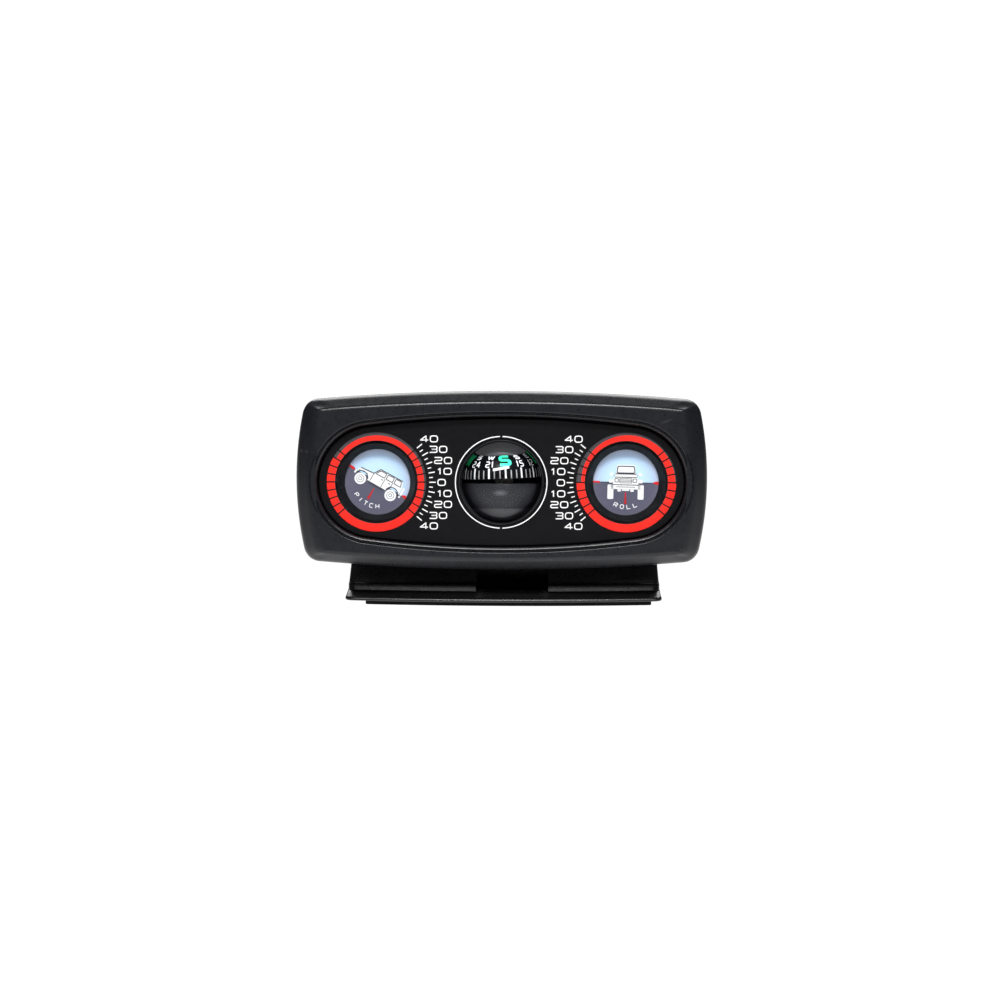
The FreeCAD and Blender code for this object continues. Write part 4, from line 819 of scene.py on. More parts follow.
rings += [
    ring(r_in + 0.15, 10.0), ring(r_in, 9.85), ring(r_in, 7.0), ring(r_in, 4.2),
    ring(r_in - 0.2, 3.62), ring(r_in - 0.8, 3.5),
]
parts = [loft(rings, wrap=True)]


def post(x, z, r, hole, w0, w1):
    """A screw boss: a tube with its end edges broken."""
    return turn(
        [
            (hole, w0), (r, w0), (r, w1 - 0.15), (r - 0.15, w1), (hole + 0.2, w1),
            (hole, w1 - 0.2),
        ],
        40,
        (x, z),
    )


def block(lo, hi, e=0.25):
    """A box with broken edges, from its corners in (x, depth, up)."""
    bm = bmesh.new()
    bmesh.ops.create_cube(bm, size=1.0)
    for v in bm.verts:
        for i in range(3):
            v.co[i] = lo[i] if v.co[i] < 0 else hi[i]
    bmesh.ops.bevel(
        bm, geom=bm.edges[:], offset=e, segments=2, affect="EDGES", profile=0.7
    )
    bm.verts.ensure_lookup_table()
    out = (
        [tuple(v.co) for v in bm.verts],
        [tuple(v.index for v in f.verts) for f in bm.faces],
    )
    bm.free()
    return out


for sx in (1, -1):
    for sz in (1, -1):
        parts.append(post(sx * 39.4, sz * 21.2, 2.2, 0.9, 3.45, 5.2))
    parts.append(post(sx * 50.0, 19.5, 2.6, 1.25, 3.45, 10.0))
    parts.append(post(0.0, sx * 23.3, 1.9, 0.9, 3.45, 4.5))
    x0 = -36.0 if sx < 0 else 24.0
    parts.append(block((x0, 5.9, -25.4), (x0 + 12, 10.0, -21.6)))
    parts.append(block((x0, 9.9, -22.8), (x0 + 12, 12.5, -21.6), 0.2))
v, f = merge(parts)
make(
    "bezel", v, f, M["housing"], "housing", HOUSING, sharp=50, replaces=("front_bezel",),
    slot="housing_black",
)

# painted shade: a near-black ring standing in for the shadow in the gap between the panel and the opening's edge
gap = [(-0.03, 2.90), (-0.03, 2.50), (0.0, 2.46), (0.51, 2.42), (0.54, 2.46), (0.54, 2.90)]
v, f = loft([lip_ring(o, w) for o, w in gap], wrap=True)
make("opening_painted_shade", v, f, M["gap"], "housing", HOUSING, sharp=50)

# ------------------------------------------------------------------ rear shell
MB = (26.6 - 15.8) / 2
sections = [
    (10.0, (HALF - 0.5, TOP - 0.5, BOT + 0.5, ARCH, SIDE, CORNER, MID)),
    (38.0, (57.5, 26.6, -15.8, ARCH, SIDE, 7.0, MB)),
]


def section(w, inset):
    """The rear shell's outline at a depth, set in by a wall."""
    f = (w - 10.0) / 28.0
    a, b = sections[0][1], sections[1][1]
    g = [a[i] + (b[i] - a[i]) * f for i in range(7)]
    return frame_arcs(
        g[0] - inset, g[1] - inset, g[2] + inset, g[3] - inset, g[4] - inset,
        max(g[5] - inset, 0.4), g[6],
    )


c_sh = (0.0, 3.0)
theta2 = thin_out(
    angles_of(section(24, 0), [50, 26, 80, 26, 50, 26, 80, 26], c_sh), math.radians(0.2)
)


def shell_ring(w, inset, depth=None):
    r = Outline(section(w, inset), c_sh, 900).at(theta2)
    d = w if depth is None else depth
    return np.stack(
        [c_sh[0] + r * np.cos(theta2), np.full(r.shape, d), c_sh[1] + r * np.sin(theta2)], 1
    )


rings = [
    shell_ring(10.0, 2.0, 10.0), shell_ring(10.0, 0.25, 10.0), shell_ring(10.0, 0.05, 10.08),
    shell_ring(10.3, 0.0), shell_ring(10.8, 0.0),
]
rings += [shell_ring(w, 0.0) for w in np.linspace(13, 35.5, 10)]
R = 3.2
for a in np.linspace(0, pi / 2, 9):
    rings.append(shell_ring(40.0 - R, R * (1 - math.cos(a)), 40.0 - R + R * math.sin(a)))
rings.append(shell_ring(40.0 - R, R + 1.2, 40.0))
rings.append(shell_ring(40.0 - R, R + 9.0, 40.0))
inner = [shell_ring(w, 2.0) for w in np.linspace(10.0, 36.5, 9)]
for a in np.linspace(0.25, pi / 2, 5):
    inner.append(shell_ring(36.5, 2.0 + 1.5 * (1 - math.cos(a)), 36.5 + 1.5 * math.sin(a)))
all_rings = list(reversed(inner)) + rings[1:]
v, f = loft(all_rings, cap=(True, True))
shell = make("shell_back", v, f, M["housing"], None, HOUSING, sharp=40)


def bool_with(obj, cutters, op="DIFFERENCE"):
    for c in cutters:
        md = obj.modifiers.new("b", "BOOLEAN")
        md.operation = op
        md.object = c
        md.solver = "EXACT"
    dg = bpy.context.evaluated_depsgraph_get()
    done = bpy.data.meshes.new_from_object(obj.evaluated_get(dg))
    obj.modifiers.clear()
    obj.data = done
    for c in cutters:
        bpy.data.objects.remove(c)


def drum(x, z, r, w0, w1, place=HOUSING, n=48, axis="w"):
    a = np.linspace(0, 2 * pi, n, endpoint=False)
    rr = [(w0, r), (w1, r)]
    rings_ = []
    for w, q in rr:
        if axis == "w":
            rings_.append(np.stack([x + q * np.cos(a), np.full(n, w), z + q * np.sin(a)], 1))
        else:  # along X, x and z are then depth and height
            rings_.append(np.stack([np.full(n, w), x + q * np.cos(a), z + q * np.sin(a)], 1))
    v_, f_ = loft(rings_, cap=(True, True))
    return make("cutter", v_, f_, None, None, place)


def tidy(obj, angle):
    m = obj.data
    m.shade_smooth()
    m.set_sharp_from_angle(angle=math.radians(angle))


PIN = HOUSING.inverted() @ Vector((0, 3.0, 13.0))
pd, ph = PIN.y, PIN.z


def prism(points, x0, x1, place, e=0.0):
    """A prism along X from points in (depth, up), with its long edges rounded by e."""
    pts = []
    n = len(points)
    for i in range(n):
        p = np.array(points[i], float)
        a, b = np.array(points[i - 1], float), np.array(points[(i + 1) % n], float)
        if e > 0:
            u, w = (a - p) / np.linalg.norm(a - p), (b - p) / np.linalg.norm(b - p)
            pts += [tuple(q) for q in bezier(p + u * e, p, p + w * e, 5)]
        else:
            pts.append(tuple(p))
    pts = np.array(pts)
    c = pts.mean(0)
    xs = [(x0, 1.0), (x1, 1.0)]
    if e > 0:
        s = 1 - 0.25 / max(np.abs(pts - c).max(), 1)
        xs = [(x0, s), (x0 + 0.25, 1.0), (x1 - 0.25, 1.0), (x1, s)]
    rings_ = [
        np.stack([np.full(len(pts), x), c[0] + (pts[:, 0] - c[0]) * k, c[1] + (pts[:, 1] - c[1]) * k], 1)
        for x, k in xs
    ]
    return loft(rings_, cap=(True, True))


lug_x0, lug_x1 = 3.35 - 9.9, 3.35 + 9.9
arm = prism(
    [
        (pd - 4.0, ph - 0.4), (pd + 4.0, ph - 0.4), (pd + 4.3, ph + 2.0),
        (pd + 6.8, ph + 8.45), (pd - 5.2, ph + 3.55), (pd - 4.0, ph + 1.2),
    ],
    lug_x0, lug_x1, HOUSING, 0.3,
)
arm_o = make("lug_arm", *arm, M["housing"], None, HOUSING, sharp=40)
barrel = drum(pd, ph, 4.0, lug_x0, lug_x1, HOUSING, 72, "x")
bool_with(arm_o, [barrel], "UNION")
bore = drum(pd, ph, 2.05, lug_x0 - 1, lug_x1 + 1, HOUSING, 48, "x")
bool_with(arm_o, [bore])
cuts = []
for sx in (1, -1):
    cuts.append(drum(sx * 50.0, 19.5, 2.7, 35.0, 41.0))
bool_with(shell, cuts)


def join(name, objs, mat, body, **kw):
    """One piece from several meshes that are already in the row frame, in metres."""
    bm = bmesh.new()
    for o in objs:
        bm.from_mesh(o.data)
    m = bpy.data.meshes.new(name)
    bm.to_mesh(m)
    bm.free()
    o2 = bpy.data.objects.new(name, m)
    bpy.context.scene.collection.objects.link(o2)
    m.materials.clear()
    m.materials.append(mat)
    for p in m.polygons:
        p.material_index = 0
    for o in objs:
        bpy.data.objects.remove(o)
    tidy(o2, kw.pop("sharp", 40))
    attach(o2, body)
    if kw.get("replaces"):
        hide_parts(*kw["replaces"])
    return o2


v, f = merge(
    [
        turn(
            [(1.25, 10.0), (3.0, 10.0), (3.0, 36.0), (1.25, 36.0)], 40, (sx * 50.0, 19.5)
        )
        for sx in (1, -1)
    ]
)
tubes = make("tubes", v, f, M["housing"], None, HOUSING)
join(
    "rear_cover", [shell, arm_o, tubes], M["housing"], "housing", sharp=38,
    replaces=("rear_shell",), slot="housing_black",
)

# ------------------------------------------------------------------ base
BX = 0.62


def base_line(half, front, rear, arc, rc, counts=(90, 14, 24, 12, 60)):
    """The plinth's outline in plan, as points: bowed front, rounded corners."""
    cy = front + arc
    cx = half - rc
    fy = cy - math.sqrt((arc - rc) ** 2 - cx * cx)
    a = math.atan2(fy - cy, cx)
    pts = []

    def arc_pts(c, r, a0, a1, n):
        t = np.linspace(a0, a1, n, endpoint=False)
        pts.extend(np.stack([c[0] + r * np.cos(t), c[1] + r * np.sin(t)], 1))

    def line_pts(p, q, n):
        t = np.linspace(0, 1, n, endpoint=False)[:, None]
        pts.extend(np.array(p) + (np.array(q) - np.array(p)) * t)

    nf, nc, ns, nr, nb = counts
    arc_pts((0, cy), arc, -pi - a, a, nf)
    arc_pts((cx, fy), rc, a, 0, nc)
    line_pts((half, fy), (half, rear - rc), ns)
    arc_pts((cx, rear - rc), rc, 0, pi / 2, nr)
    line_pts((cx, rear), (-cx, rear), nb)
    arc_pts((-cx, rear - rc), rc, pi / 2, pi, nr)
    line_pts((-half, rear - rc), (-half, fy), ns)
    arc_pts((-cx, fy), rc, -pi, -pi - a, nc)
    return np.array(pts)


def base_ring(z, half, front, rear, arc=390.0, rc=2.5):
    p = base_line(half, front, rear, arc, rc)
    return np.stack([p[:, 0] + BX, p[:, 1], np.full(len(p), z)], 1)


prof = [  # z, half, front, rear, arc, corner
    (1.60, 50.00, -22.55, 20.55, 390, 2.6),
    (1.63, 50.25, -22.80, 20.80, 390, 2.7),
    (1.76, 50.40, -22.95, 20.95, 390, 2.8),
    (2.00, 50.45, -23.00, 21.00, 390, 2.8),
    (2.20, 50.43, -22.97, 20.98, 390, 2.8),
    (2.38, 50.39, -22.89, 20.92, 390, 2.8),
    (2.54, 50.34, -22.76, 20.85, 390, 2.8),
    (2.68, 50.29, -22.57, 20.78, 390, 2.8),
    (2.80, 50.25, -22.31, 20.70, 390, 2.8),
    (2.89, 50.22, -21.98, 20.62, 390, 2.8),
    (2.96, 50.20, -21.55, 20.55, 390, 2.8),
    (3.04, 50.18, -20.95, 20.45, 390, 2.8),
    (3.16, 50.16, -20.10, 20.30, 390, 2.7),
    (3.38, 50.13, -18.80, 20.10, 390, 2.7),
    (3.62, 50.10, -17.55, 19.92, 390, 2.7),
    (3.80, 50.08, -16.80, 19.82, 390, 2.7),
    (3.88, 50.03, -16.40, 19.72, 390, 2.7),
    (3.92, 49.90, -16.00, 19.55, 390, 2.6),
    (3.96, 49.80, -15.84, 19.42, 390, 2.6),
    (4.02, 49.80, -15.84, 19.42, 390, 2.6),
    (4.07, 49.88, -16.00, 19.46, 390, 2.6),
    (4.10, 49.98, -16.20, 19.50, 390, 2.7),
    (4.16, 50.00, -16.26, 19.50, 390, 2.7),
    (4.26, 50.00, -16.22, 19.48, 390, 2.7),
    (4.60, 50.00, -16.09, 19.42, 390, 2.7),
    (4.95, 49.99, -15.95, 19.33, 390, 2.7),
    (5.30, 49.98, -15.78, 19.24, 390, 2.7),
    (5.62, 49.97, -15.60, 19.16, 390, 2.7),
    (5.84, 49.95, -15.44, 19.06, 390, 2.7),
    (5.98, 49.92, -15.20, 18.90, 390, 2.7),
    (6.05, 49.89, -14.88, 18.72, 400, 2.6),
    (6.08, 49.86, -14.20, 18.45, 600, 2.6),
    (6.10, 49.82, -13.40, 18.20, 1600, 2.4),
    (6.16, 49.79, -13.14, 18.05, 2600, 2.25),
    (6.32, 49.77, -12.94, 17.98, 3000, 2.2),
    (6.80, 49.74, -12.64, 17.94, 3000, 2.2),
]
rings = [base_ring(*p) for p in prof]
foot = base_ring(6.1, 49.8, -13.0, 18.0, 3000.0, 2.2)
crown = base_ring(17.0, 48.9, -7.4, 17.0, 3000.0, 2.2)


def wall_at(drop, inset=0.0):
    """The wall where it meets the sloped top, or a little below or inside it."""
    d = crown - foot
    z_at = lambda p: 12.73 + 0.098 * p[:, 1] - drop
    t = (z_at(foot) - foot[:, 2]) / (d[:, 2] - 0.098 * d[:, 1])
    p = foot + d * t[:, None]
    if inset:
        c = np.array([BX, 4.0])
        q = p[:, :2] - c
        p = p.copy()
        hx, hy = np.abs(q[:, 0]).max(), np.abs(q[:, 1]).max()
        p[:, 0] = c[0] + q[:, 0] * (1 - inset / hx)
        p[:, 1] = c[1] + q[:, 1] * (1 - inset / hy)
        p[:, 2] = 12.73 + 0.098 * p[:, 1] - drop
    return p


for k in (0.15, 0.4, 0.7, 0.9):
    a, b = rings[len(prof) - 1], wall_at(0.45)
    rings.append(a + (b - a) * k)
rings.append(wall_at(0.45))
rings.append(wall_at(0.22, 0.04))
rings.append(wall_at(0.07, 0.15))
rings.append(wall_at(0.0, 0.42))
v, f = loft(rings, cap=(True, True))
body = make("plinth_body", v, f, M["base"], None, WORLD, sharp=None)


def plain_prism(points, x0, x1):
    rings_ = [np.stack([np.full(len(points), x), [p[0] for p in points], [p[1] for p in points]], 1) for x in (x0, x1)]
    v_, f_ = loft(rings_, cap=(True, True))
    return make("cutter", v_, f_, None, None, WORLD)


hollow = plain_prism(
    [(-10.9, 2.1), (-10.9, 3.1), (-7.9, 9.9), (15.6, 12.2), (16.0, 2.1)], BX - 47.5, BX + 47.5
)
p_ = base_line(47.5, -16.6, 17.7, 390, 1.1, (40, 6, 4, 4, 4))
v, f = loft(
    [np.stack([p_[:, 0] + BX, p_[:, 1], np.full(len(p_), z)], 1) for z in (1.0, 3.1)],
    cap=(True, True),
)
pocket = make("cutter", v, f, None, None, WORLD)
slot_cut = plain_prism([(-26.0, 3.75), (14.0, 3.75), (14.0, 30.0), (-26.0, 30.0)], 3.35 - 11.6, 3.35 + 11.6)
bool_with(body, [hollow, pocket, slot_cut])
inner_parts = []
for s in (1, -1):
    x0 = 3.35 + 11.6 if s > 0 else 3.35 - 11.6 - 2.5
    inner_parts.append(
        prism([(-12.0, 4.7), (17.0, 4.7), (16.5, 12.6), (-9.0, 10.3)], x0, x0 + 2.5, WORLD)
    )
    for y, top in ((-6.6, 11.2), (12.5, 12.9)):
        n = 36
        a = np.linspace(0, 2 * pi, n, endpoint=False)
        rr = [(1.25, 3.1), (2.65, 3.1), (2.8, 3.25), (2.8, top), (1.25, top)]
        inner_parts.append(
            loft(
                [
                    np.stack(
                        [s * 40.0 + BX + q * np.cos(a), y + q * np.sin(a), np.full(n, z)], 1
                    )
                    for q, z in rr
                ],
                wrap=True,
            )
        )
v, f = merge(inner_parts)
ribs = make("ribs", v, f, M["base"], None, WORLD)
knuckles = []
for s in (1, -1):
    x0 = 3.35 + 11.6 if s > 0 else 3.35 - 11.6 - 7.0
    n = 64
    a = np.linspace(0, 2 * pi, n, endpoint=False)
    if s < 0:
        rr = [(2.02, x0), (3.6, x0), (3.8, x0 + 0.2), (3.8, x0 + 7.0), (2.02, x0 + 7.0)]
        wrapped, caps = True, (False, False)
    else:
        rr = [(2.02, x0 + 5.0), (2.02, x0), (3.8, x0), (3.8, x0 + 6.8), (3.6, x0 + 7.0)]
        wrapped, caps = False, (True, True)
    knuckles.append(
        loft(
            [np.stack([np.full(n, x), 3.0 + q * np.cos(a), 13.0 + q * np.sin(a)], 1) for q, x in rr],
            wrap=wrapped,
            cap=caps,
        )
    )
v, f = merge(knuckles)
kn = make("knuckles", v, f, M["base"], None, WORLD)
plinth = join(
    "plinth", [body, ribs, kn], M["base"], "base", sharp=48, replaces=("base_shell",),
    slot="base_black",
)
# painted shade: the slot's floor gets the near-black, glossless shade colour, standing in for the shadow under the
# housing
plinth.data.materials.append(M["gap"])
for p_ in plinth.data.polygons:
    c = p_.center
    if abs(c.x * 1000 - 3.35) < 11.7 and -15.9 < c.y * 1000 < 14.2 and abs(c.z * 1000 - 3.75) < 0.05:
        p_.material_index = 1

# ------------------------------------------------------------------ adhesive pad
pad_rings = []
for z, d in (
    (0.0, 0.12), (0.03, 0.05), (0.12, 0.0), (0.5, 0.0), (0.8, 0.05), (1.1, 0.0),
    (1.5, 0.0), (1.57, 0.05), (1.6, 0.12),
):
    p = base_line(45.6 - d, -20.0 + d, 18.0 - d, 390.0, 1.0, (120, 8, 40, 8, 120))
    pad_rings.append(np.stack([p[:, 0] + 2.15, p[:, 1], np.full(len(p), z)], 1))
v, f = loft(pad_rings, cap=(True, True))
pad = make(
    "foam_pad", v, f, M["foam"], "base", WORLD, sharp=60, replaces=("adhesive_pad",), slot="foam"
)


# ------------------------------------------------------------------ flat prints
def rounded(points, closed, radius, n=5):
    """A path whose corners are rounded, each by radius or what fits."""
    pts = [np.array(p, float) for p in points]
    out = []
    m = len(pts)
    for i, p in enumerate(pts):
        if not closed and i in (0, m - 1):
            out.append(p)
            continue
        a, b = pts[i - 1], pts[(i + 1) % m]
        la, lb = np.linalg.norm(a - p), np.linalg.norm(b - p)
        e = min(radius, la * 0.5, lb * 0.5)
        if e < 1e-6:
            out.append(p)
            continue
        out += list(bezier(p + (a - p) / la * e, p, p + (b - p) / lb * e, n))
    return np.array(out)


def ribbon(path, width, closed=False, d0=0.0, d1=0.03):
    """A raised stroke of one width along a path in (x, up); depth from d0 to d1."""
    p = np.asarray(path, float)
    keep = [0] + [i for i in range(1, len(p)) if np.linalg.norm(p[i] - p[i - 1]) > 1e-5]
    p = p[keep]
    if closed and np.linalg.norm(p[0] - p[-1]) < 1e-5:
        p = p[:-1]
    n = len(p)
    seg = np.roll(p, -1, 0) - p
    seg /= np.maximum(np.linalg.norm(seg, axis=1), 1e-9)[:, None]
    nrm = np.stack([-seg[:, 1], seg[:, 0]], 1)
    L, R_ = [], []
    for i in range(n):
        if closed or 0 < i < n - 1:
            a, b = nrm[i - 1], nrm[i]
            s = a + b
            s /= max(np.linalg.norm(s), 1e-6)
            k = 1 / max(float(s @ b), 0.35)
        elif i == 0:
            s, k = nrm[0], 1.0
        else:
            s, k = nrm[n - 2], 1.0
        L.append(p[i] + s * width / 2 * k)
        R_.append(p[i] - s * width / 2 * k)
    verts = []
    for a, b in zip(L, R_):
        verts += [(a[0], d0, a[1]), (b[0], d0, b[1]), (b[0], d1, b[1]), (a[0], d1, a[1])]
    faces = []
    m = n if closed else n - 1
    for i in range(m):
        a, b = 4 * i, 4 * ((i + 1) % n)
        for q in range(4):
            faces.append((a + q, a + (q + 1) % 4, b + (q + 1) % 4, b + q))
    if not closed:
        faces.append((3, 2, 1, 0))
        e = 4 * (n - 1)
        faces.append((e, e + 1, e + 2, e + 3))
    return verts, faces


def plate(points, d0=0.0, d1=0.03):
    """A raised flat shape from its outline in (x, up)."""
    p = np.asarray(points, float)
    n = len(p)
    verts = [(q[0], d0, q[1]) for q in p] + [(q[0], d1, q[1]) for q in p]
    faces = [tuple(range(n)), tuple(range(2 * n - 1, n - 1, -1))]
    for i in range(n):
        j = (i + 1) % n
        faces.append((i, j, n + j, n + i))
    return verts, faces


def disc_pts(x, z, r, n=40, a0=0.0, a1=2 * pi, end=False):
    a = np.linspace(a0, a1, n, endpoint=end)
    return np.stack([x + r * np.cos(a), z + r * np.sin(a)], 1)


def rect(x0, z0, x1, z1, r=0.0):
    p = [(x0, z0), (x1, z0), (x1, z1), (x0, z1)]
    return rounded(p, True, r) if r > 0 else np.array(p, float)


def sector(r0, r1, a0, a1, n=None, outer=None):
    """A ring's segment; outer may give the outer radius by angle."""
    n = n or max(3, int(abs(a1 - a0) / math.radians(2.0)) + 2)
    a = np.linspace(a0, a1, n)
    ro = np.array([outer(t) if outer else r1 for t in a])
    out = np.stack([ro * np.cos(a), ro * np.sin(a)], 1)
    inn = np.stack([r0 * np.cos(a[::-1]), r0 * np.sin(a[::-1])], 1)
    return np.concatenate([out, inn])


GLYPHS = {  # strokes in a unit box: (points, closed, rounding as a share of the height)
    "0": [([(0, 0), (1, 0), (1, 1), (0, 1)], True, 0.34)],
    "1": [([(0.12, 0.74), (0.62, 1.0), (0.62, 0.0)], False, 0.02)],
    "2": [([(0, 1), (1, 1), (1, 0.5), (0, 0.5), (0, 0), (1, 0)], False, 0.22)],
    "3": [
        ([(0, 1), (1, 1), (1, 0.52), (0.25, 0.52)], False, 0.2),
        ([(0.25, 0.5), (1, 0.5), (1, 0), (0, 0)], False, 0.2),
    ],
    "4": [([(0.76, 0.0), (0.76, 1.0), (0.0, 0.3), (1.06, 0.3)], False, 0.03)],
    "5": [([(1, 1), (0.05, 1), (0.05, 0.55), (1, 0.55), (1, 0), (0, 0)], False, 0.2)],
    "6": [([(0.95, 1), (0, 1), (0, 0), (1, 0), (1, 0.55), (0.02, 0.55)], False, 0.22)],
    "S": [([(1, 1), (0, 1), (0, 0.5), (1, 0.5), (1, 0), (0, 0)], False, 0.22)],
    "W": [([(0, 1), (0.25, 0), (0.5, 0.85), (0.75, 0), (1, 1)], False, 0.02)],
    "N": [([(0, 0), (0, 1), (1, 0), (1, 1)], False, 0.02)],
    "E": [([(1, 1), (0, 1), (0, 0), (1, 0)], False, 0.02), ([(0, 0.5), (0.85, 0.5)], False, 0)],
    "P": [([(0, 0), (0, 1), (1, 1), (1, 0.45), (0.02, 0.45)], False, 0.25)],
    "I": [([(0.5, 0), (0.5, 1)], False, 0)],
    "T": [([(0, 1), (1, 1)], False, 0), ([(0.5, 0.98), (0.5, 0)], False, 0)],
    "C": [([(1, 1), (0, 1), (0, 0), (1, 0)], False, 0.25)],
    "H": [([(0, 0), (0, 1)], False, 0), ([(1, 0), (1, 1)], False, 0), ([(0.02, 0.5), (0.98, 0.5)], False, 0)],
    "R": [([(0, 0), (0, 1), (1, 1), (1, 0.45), (0.02, 0.45)], False, 0.22), ([(0.5, 0.45), (1, 0)], False, 0)],
    "O": [([(0, 0), (1, 0), (1, 1), (0, 1)], True, 0.36)],
    "L": [([(0, 1), (0, 0), (1, 0)], False, 0.02)],
}


def glyph(ch, x, z, w, h, stroke, d0, d1, bend=None):
    """One character centred on (x, z); its box is w by h over the strokes' outsides."""
    out = []
    iw, ih = w - stroke, h - stroke
    for pts, closed, rnd in GLYPHS[ch]:
        q = [(x + (a - 0.5) * iw, z + (b - 0.5) * ih) for a, b in pts]
        q = rounded(q, closed, rnd * h)
        if bend is not None:
            # long straight runs are divided, so that they follow the bend
            fine = []
            m = len(q)
            for i in range(m if closed else m - 1):
                a, b = q[i], q[(i + 1) % m]
                k = max(1, int(np.linalg.norm(b - a) / 0.25))
                fine += [a + (b - a) * t for t in np.linspace(0, 1, k, endpoint=False)]
            if not closed:
                fine.append(q[-1])
            q = np.array(fine)
        vf = ribbon(q, stroke, closed, d0, d1)
        out.append(vf)
    v_, f_ = merge(out)
    if bend is not None:
        v_ = [bend(p) for p in v_]
    return v_, f_


# ---- scales on the panel
PANEL = 3.0
white_parts = []
for sx in (-1, 1):
    cx = sx * 39.4
    for deg in range(-40, 41, 5):
        a = math.radians(deg)
        long = deg % 10 == 0
        r0, r1 = 16.75, (18.75 if long else 17.9)
        ux, uz = -sx * math.cos(a), math.sin(a)
        path = [(cx + ux * r0, uz * r0 - 0.05), (cx + ux * r1, uz * r1 - 0.05)]
        white_parts.append(ribbon(path, 0.34 if long else 0.31, False, PANEL - 0.035, PANEL + 0.01))
    for val, du, dv in (
        ("40", 22.78, 13.72), ("30", 19.86, 10.42), ("20", 18.32, 6.92), ("10", 17.9, 3.50),
        ("0", 18.78, 0.0), ("10", 17.9, -3.50), ("20", 18.32, -6.92), ("30", 19.86, -10.42),
        ("40", 22.78, -13.72),
    ):
        x, z = sx * du, dv - 0.08
        wd, gap = 2.62, 0.46
        if len(val) == 1:
            white_parts.append(glyph("0", x, z, 2.66, 2.22, 0.335, PANEL - 0.035, PANEL + 0.01))
            continue
        w1 = 1.55 if val[0] == "1" else wd
        total = w1 + gap + wd
        xa = x - total / 2 + w1 / 2
        xb = x + total / 2 - wd / 2
        white_parts.append(glyph(val[0], xa, z, w1, 2.22, 0.335, PANEL - 0.035, PANEL + 0.01))
        white_parts.append(glyph(val[1], xb, z, wd, 2.22, 0.335, PANEL - 0.035, PANEL + 0.01))
# the compass ring, with a gap above and below
for a0 in (-pi / 2, pi / 2):
    g = 0.42 / 14.43
    white_parts.append(
        plate(sector(14.27, 14.59, a0 + g, a0 + pi - g, 160), PANEL - 0.035, PANEL + 0.01)
    )
v, f = merge(white_parts)
make("scale_print", v, f, M["white"], "housing", HOUSING, sharp=30)


# ---- red segments on the dial rings, each cut back along a painted crescent of shade
# painted shade: the red print's outer edge is pulled in by a width given by angle, so the grey ring below shows as a
# crescent of shade at each dial's top and inner side
def shade_crescent_edge(table):
    xs = [math.radians(a) for a, _ in table]
    ys = [b for _, b in table]
    return lambda t: 15.68 - float(np.interp(t, xs, ys))


pitch_shade_crescent = shade_crescent_edge([(-90, 0), (-40.5, 0), (-40, 0.12), (-25, 0.3), (0, 0.62), (45, 0.85), (90, 1.0),
                 (149.8, 1.0), (150, 0.0), (270, 0.0)])
roll_shade_crescent = shade_crescent_edge([(-90, 0), (-2, 0), (0, 0.28), (5, 0.3), (45, 0.45), (90, 0.8), (140, 1.2),
                  (168, 1.45), (179.7, 1.5), (180, 0.0), (270, 0.0)])
RING = 3.3
for name, cx, outer in (("pitch", -39.4, pitch_shade_crescent), ("roll", 39.4, roll_shade_crescent)):
    segs = []
    marks = sorted(
        [math.radians(d) for d in range(-40, 41, 10)]
        + [math.radians(180 + d) for d in range(-40, 41, 10)]
    )
    marks.append(marks[0] + 2 * pi)
    for a0, a1 in zip(marks[:-1], marks[1:]):
        h = 0.14 / 14.4
        out_f = lambda t: outer(t if t <= 1.5 * pi else t - 2 * pi)
        # a segment stops a little short of the ticks at both its ends
        stops = [a0 + h, a1 - h]
        segs.append(plate(sector(13.12, 15.68, stops[0], stops[1], None, out_f), RING - 0.03, RING + 0.01))
    v, f = merge(segs)
    make(name + "_red_scale", v, f, M["red"], "housing", HOUSING @ Matrix.Translation((cx, 0, 0)), sharp=30)
    ticks = []
    for a in marks[:-1]:
        c, s = math.cos(a), math.sin(a)
        ticks.append(ribbon([(13.08 * c, 13.08 * s), (15.69 * c, 15.69 * s)], 0.42, False, RING - 0.05, RING + 0.01))
    v, f = merge(ticks)
    make(name + "_ring_ticks", v, f, M["tick_black"], "housing", HOUSING @ Matrix.Translation((cx, 0, 0)), sharp=30)

# ---- the printed discs
DISC = 8.4
R_D = 10.85


def arc_word(word, radius, step, w, h, stroke, d0, d1):
    """Letters along the lower rim, upright to a viewer."""
    out = []
    n = len(word)
    for i, ch in enumerate(word):
        ang = (i - (n - 1) / 2) * step
        c, s = math.cos(ang), math.sin(ang)
        gv, gf = glyph(ch, 0.0, 0.0, w if ch != "I" else stroke * 1.01, h, stroke, d0, d1)
        # turned by ang and moved out along the radius that points down
        mv = []
        for px, pd_, pz in gv:
            qx = px * c - pz * s + radius * s
            qz = px * s + pz * c - radius * c
            mv.append((qx, pd_, qz))
        out.append((mv, gf))
    return merge(out)


